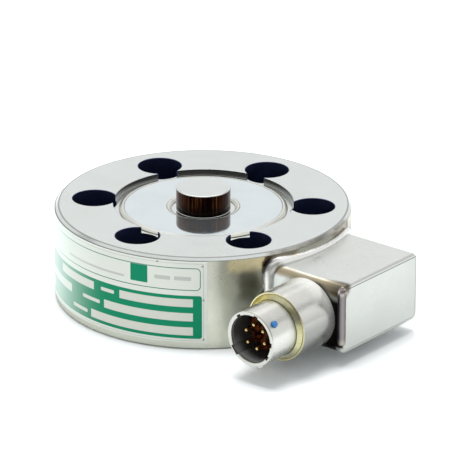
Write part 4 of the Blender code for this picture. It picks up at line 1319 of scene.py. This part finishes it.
def make_corner_weld(mat):
    """Weld down the box's front corner: even, with a nugget near its top and round ends."""
    edge = [
        Vector((CORNER_X - 0.6 * mm, BOX_LOW.y + 2.5 * mm, BOX_HIGH.z - 1.15 * mm)),
        Vector((CORNER_X - 0.35 * mm, BOX_LOW.y + 1.4 * mm, BOX_HIGH.z - 1.4 * mm)),
        Vector((CORNER_X - 0.2 * mm, CORNER_Y + 0.2 * mm, BOX_HIGH.z - 3.0 * mm)),
        Vector((CORNER_X - 0.15 * mm, CORNER_Y + 0.15 * mm, BOX_LOW.z + 2.3 * mm)),
    ]
    edge = resampled(edge, CORNER_STEP, False)
    smoothings = 14
    for _ in range(smoothings):
        middle = [(a + b + c) / 3 for a, b, c in zip(edge, edge[1:], edge[2:])]
        edge = [edge[0], *middle, edge[-1]]
    length = sum((b - a).length for a, b in zip(edge, edge[1:]))
    radii = []
    for index in range(len(edge)):
        down = length * index / (len(edge) - 1)
        nugget = 0.2 * bell(down - 1.7 * mm, 1.3 * mm)
        from_end = min(1.0, min(down, length - down) / (1.2 * mm))
        round_end = math.sqrt(max(0.01, 1.0 - (1.0 - from_end) ** 2))
        radii.append((1.12 + 0.02 * math.sin(index * 0.2) + nugget) * round_end * mm)
    finished(tube("box_corner_weld", edge, radii), mat, "weld")


def make_barrel(mat):
    """Receptacle barrel with its keyways and the holes of its studs."""
    flange_r = SLEEVE_BORE_R - SEAT_GAP
    corners = [
        (SHELL_BORE_R, SHELL_MOUTH, 0.28 * mm),
        (SHELL_R, SHELL_MOUTH, 0.28 * mm),
        (SHELL_R, RING_BACK - SEAT_GAP),
        (flange_r, RING_BACK - SEAT_GAP),
        (flange_r, SHELL_BACK),
        (SHELL_LIP_R, SHELL_BACK),
        (SHELL_LIP_R, SHELL_BACK + SHELL_LIP),
        (SHELL_BORE_R, SHELL_BACK + SHELL_LIP),
    ]
    shell = on_connector(lathe("receptacle_barrel", corners, SLEEVE_SEGMENTS))
    keys = []
    for index, (degrees, width) in enumerate(zip(KEYWAY_ANGLES, KEYWAY_WIDTHS)):
        key = block(
            f"key_{index}",
            (SHELL_BORE_R - 2.4 * mm, -width / 2, INSERT_FACE - KEYWAY_DEPTH),
            (SHELL_BORE_R + KEYWAY_DEPTH, width / 2, SHELL_MOUTH + OVER),
        )
        keys.append(place(key, rotation_euler=(0.0, 0.0, math.radians(degrees))))
    cut(shell, on_connector(joined("keys", keys)))
    holes = [
        rod(
            "stud_hole",
            STUD_R + 0.1 * mm,
            polar(SHELL_R - 0.5 * mm, degrees, STUD_LEVEL),
            polar(SHELL_R + OVER, degrees, STUD_LEVEL),
            48,
        )
        for degrees in STUD_ANGLES
    ]
    cut(shell, on_connector(joined("stud_holes", holes)))
    shaded(shell, mat, "nickel", "connector_shell")


def make_insert(mat):
    """Insulator with a cone-shaped well round each contact."""
    corners = rectangle(0.0, INSERT_R, INSERT_BACK, INSERT_FACE, outer_edge=0.35 * mm)
    insert = on_connector(lathe("receptacle_insert", corners, 128))
    hole_r = CONTACT_R + 0.25 * mm
    well = [
        (0.0, INSERT_FACE + OVER),
        (CONTACT_R + 1.45 * mm, INSERT_FACE + OVER),
        (hole_r, INSERT_FACE - 0.2 * mm),
        (hole_r, INSERT_BACK - OVER),
        (0.0, INSERT_BACK - OVER),
    ]
    for spot in CONTACT_PLACES:
        cutter = place(lathe("well", well, 32), location=spot)
        cut(insert, on_connector(cutter))
    shaded(insert, mat, "insert", "connector_insert")


def make_contacts(mat):
    """Contacts with round noses, each with a solder cup at its back."""
    corners = [
        (0.0, CONTACT_TIP),
        (CONTACT_R, CONTACT_TIP, 0.44 * mm),
        (CONTACT_R, SHELL_BACK),
        (CUP_R, SHELL_BACK - 0.3 * mm, 0.1 * mm),
        (CUP_R, CONTACT_BACK, 0.06 * mm),
        (CUP_BORE_R, CONTACT_BACK),
        (CUP_BORE_R, CONTACT_BACK + CUP_DEPTH),
        (0.0, CONTACT_BACK + CUP_DEPTH),
    ]
    for number, spot in enumerate(CONTACT_PLACES, 1):
        contact = lathe(f"contact_{number}", corners, SMALL_SEGMENTS)
        on_connector(place(contact, location=spot))
        shaded(contact, mat, "gold_contact", f"contact_pin_{number}")


def make_studs(blue, steel):
    """Bayonet studs; the first one carries the paint spot."""
    corners = rectangle(0.0, STUD_R, STUD_ROOT, STUD_RISE, outer_edge=0.28 * mm)
    looks = ((blue, "blue_paint"), (steel, "turned_steel"), (steel, "turned_steel"))
    for number, (degrees, (mat, slot)) in enumerate(zip(STUD_ANGLES, looks), 1):
        stud = lathe(f"bayonet_pin_{number}", corners, SMALL_SEGMENTS)
        place(
            stud,
            rotation_euler=(0.0, math.radians(90.0), math.radians(degrees)),
            location=polar(SHELL_R, degrees, STUD_LEVEL),
        )
        shaded(on_connector(stud), mat, slot, f"bayonet_stud_{number}")


def make_receptacle():
    sleeve = rectangle(
        SLEEVE_BORE_R, SLEEVE_R, SLEEVE_BACK - SEAT_GAP, SLEEVE_MOUTH, 0.1 * mm, 0.22 * mm
    )
    sleeve = on_connector(lathe("receptacle_sleeve", sleeve, SLEEVE_SEGMENTS))
    shaded(sleeve, sleeve_steel(), "turned_steel", "connector_sleeve")
    inner, outer = SHELL_R + 0.06 * mm, SLEEVE_BORE_R - 0.06 * mm
    ring = [
        (inner, RING_FRONT, 0.15 * mm),
        (outer, SLEEVE_MOUTH - 0.1 * mm, 0.12 * mm),
        (outer, RING_BACK),
        (inner, RING_BACK),
    ]
    ring = on_connector(lathe("receptacle_seal_ring", ring, SLEEVE_SEGMENTS))
    shaded(ring, passivated_ring(), "passivated", "connector_ring")
    make_barrel(nickel_plate())
    blue = two_tone(
        "blue paint spot",
        (0.012, 0.10, 0.30),
        (0.03, 0.19, 0.46),
        1400.0,
        roughness=(0.3, 0.2),
        bump=(0.3, 0.05 * mm),
        coat_weight=0.3,
    )
    make_studs(blue, turned_metal("stud steel", (0.70, 0.70, 0.67), (0.54, 0.54, 0.50), 0.25, 0.2))
    make_insert(insulator())
    gold = two_tone(
        "gold plate",
        (0.86, 0.62, 0.29),
        (0.55, 0.36, 0.14),
        900.0,
        roughness=(0.14, 0.14),
        bump=(0.1, 0.02 * mm),
        metallic=1.0,
    )
    make_contacts(gold)


def make_name_plate(mat):
    """Thin foil on the ring's side, its outer edges rounded."""
    edge = 0.08 * mm
    corners = [
        (PLATE_R, PLATE_LOW),
        (PLATE_OUTER_R, PLATE_LOW, edge),
        (PLATE_OUTER_R, PLATE_HIGH, edge),
        (PLATE_R, PLATE_HIGH),
    ]
    start = PLATE_RIGHT - PLATE_SPAN
    plate = lathe("printed_plate", corners, 110, turn=PLATE_SPAN, start=start)
    shaded(plate, mat, "printed_plate", "name_plate")


def dress_inner_nodes():
    """Materials for the CAD nodes that stay as they are."""
    cover = turned_metal("cover steel", (0.66, 0.66, 0.63), (0.52, 0.52, 0.49), 0.26, 0.4)
    board = plain_stock("green board", (0.02, 0.16, 0.06), (0.03, 0.24, 0.10), 0.4)
    film = plain_stock("amber film", (0.55, 0.34, 0.10), (0.40, 0.24, 0.07), 0.35)
    wire = plain_stock("white insulation", (0.74, 0.73, 0.69), (0.64, 0.63, 0.58), 0.45)
    winding = plain_stock(
        "enamelled winding", (0.36, 0.14, 0.05), (0.24, 0.08, 0.03), 0.3, 0.4, 2600.0
    )
    looks = {
        "bottom_cover": cover,
        "terminal_board": board,
        "strain_gauge": film,
        "gauge_lead": wire,
        "trim_resistor": winding,
        "signal_wire": wire,
    }
    for node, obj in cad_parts.items():
        kind = node.rstrip("0123456789").rstrip("_")
        if kind in looks:
            coat(obj, looks[kind])


# Stage

def plain_material(name, colour, **values):
    """One plain colour, with values for other sockets of the shader."""
    f = Finish(name, 0.0)
    f.set(Base_Color=colour, **values)
    return f.mat


def make_floor():
    """Plain white table, lit so that only its shadows are darker than white."""
    bpy.ops.mesh.primitive_plane_add(size=12.0, location=(0.0, 0.0, -0.02 * mm))
    floor = added("white_table")
    white = (0.885, 0.905, 0.91)
    coat(floor, plain_material("white table", white, Roughness=0.6, Specular_IOR_Level=0.2))


def make_world():
    """White all round for camera and glossy rays, and soft even light for the rest."""
    world = bpy.data.worlds.new("studio")
    bpy.context.scene.world = world
    world.use_nodes = True
    g = Graph(world.node_tree)
    rays = g.node("ShaderNodeLightPath").outputs
    seen = g.math("MAXIMUM", rays["Is Camera Ray"], rays["Is Glossy Ray"])
    seen = g.math("MAXIMUM", seen, rays["Is Transmission Ray"])
    g.fill(
        world.node_tree.nodes["Background"],
        Color=g.mix(seen, (0.96, 0.98, 1.0), (1.0, 1.0, 1.0)),
        Strength=g.vary(0.78, seen, 0.22),
    )


def make_cloth(name, mat, start, end, bottom, top, distance):
    """A cloth round part of the studio, seen only in the metal's reflections. Start and end are
    degrees round the part, bottom and top degrees above the table."""
    low_z = distance * math.tan(math.radians(bottom))
    high_z = distance * math.tan(math.radians(top))
    back = distance + 20.0 * mm
    corners = [
        (distance, low_z),
        (distance, high_z),
        (back, high_z),
        (back, low_z),
    ]
    cloth = lathe(name, corners, 48, turn=end - start, start=start)
    coat(cloth, mat)
    cloth.visible_camera = False
    cloth.visible_diffuse = False
    cloth.visible_shadow = False


def make_lamp(name, position, size, power, seen=False, colour=(1.0, 1.0, 1.0)):
    """A round softbox aimed at the part, seen in the metal or not."""
    data = bpy.data.lights.new(name, "AREA")
    data.shape = "DISK"
    data.size = size
    data.energy = power
    data.color = colour
    lamp = bpy.data.objects.new(name, data)
    bpy.context.scene.collection.objects.link(lamp)
    lamp.location = position
    lamp.visible_glossy = seen
    lamp.rotation_euler = (-Vector(position)).to_track_quat("-Z", "Y").to_euler()


def make_stage():
    make_floor()
    make_world()
    looks = (("dark cloth", (0.13, 0.127, 0.12), 0.6), ("grey cloth", (0.30, 0.30, 0.30), 0.8))
    dark_cloth, grey_cloth = (
        plain_material(
            name, colour, Roughness=0.9, Emission_Color=colour, Emission_Strength=strength
        )
        for name, colour, strength in looks
    )
    make_cloth("camera_side_cloth", dark_cloth, -112.0, 8.0, 4.0, 46.0, 2.2)
    make_cloth("far_side_cloth", grey_cloth, 20.0, 230.0, 30.0, 38.0, 2.4)
    make_lamp("left softbox", (-0.9, -0.55, 0.9), 0.9, 1.0)
    make_lamp("back softbox", (-0.7, 0.75, 1.5), 1.2, 6.0, seen=True, colour=(1.0, 0.99, 0.97))
    make_lamp("top softbox", (-0.10, 0.05, 1.9), 1.0, 30.0)


# Camera, fitted to the photograph
CAMERA_DISTANCE = 1256.40 * mm
CAMERA_ELEVATION = 22.8093
CAMERA_AZIMUTH = 39.65
CAMERA_YAW = -0.41811
CAMERA_PITCH = 0.65432
CAMERA_ROLL = 0.06615
CAMERA_LENS = 354.37


def make_camera():
    turn = Matrix.Rotation(math.radians(CAMERA_AZIMUTH), 3, "Z")
    elevation = math.radians(CAMERA_ELEVATION)
    eye = turn @ Vector((0.0, -math.cos(elevation), math.sin(elevation))) * CAMERA_DISTANCE
    forward = -eye.normalized()
    right = turn @ X_AXIS
    up = right.cross(forward)
    yaw = Matrix.Rotation(math.radians(CAMERA_YAW), 3, up)
    forward, right = yaw @ forward, yaw @ right
    pitch = Matrix.Rotation(math.radians(CAMERA_PITCH), 3, right)
    forward, up = pitch @ forward, pitch @ up
    roll = Matrix.Rotation(math.radians(CAMERA_ROLL), 3, forward)
    right, up = roll @ right, roll @ up
    data = bpy.data.cameras.new("photo camera")
    data.sensor_width = 36.0
    data.lens = CAMERA_LENS
    data.clip_start = 0.05
    data.clip_end = 50.0
    camera = bpy.data.objects.new("photo camera", data)
    bpy.context.scene.collection.objects.link(camera)
    pose = Matrix((right, up, -forward)).transposed().to_4x4()
    pose.translation = eye
    camera.matrix_world = pose
    bpy.context.scene.camera = camera


def main():
    make_ring(ring_steel(), button_side_steel(), bore_steel(), recess_wall_steel())
    make_membrane(mirror_membrane())
    make_box(box_steel())
    make_junction_weld(junction_weld_steel())
    make_corner_weld(corner_weld_steel())
    make_receptacle()
    make_name_plate(printed_plate())
    dress_inner_nodes()
    make_stage()
    make_camera()
    bpy.context.scene.view_settings.view_transform = "Standard"


main()
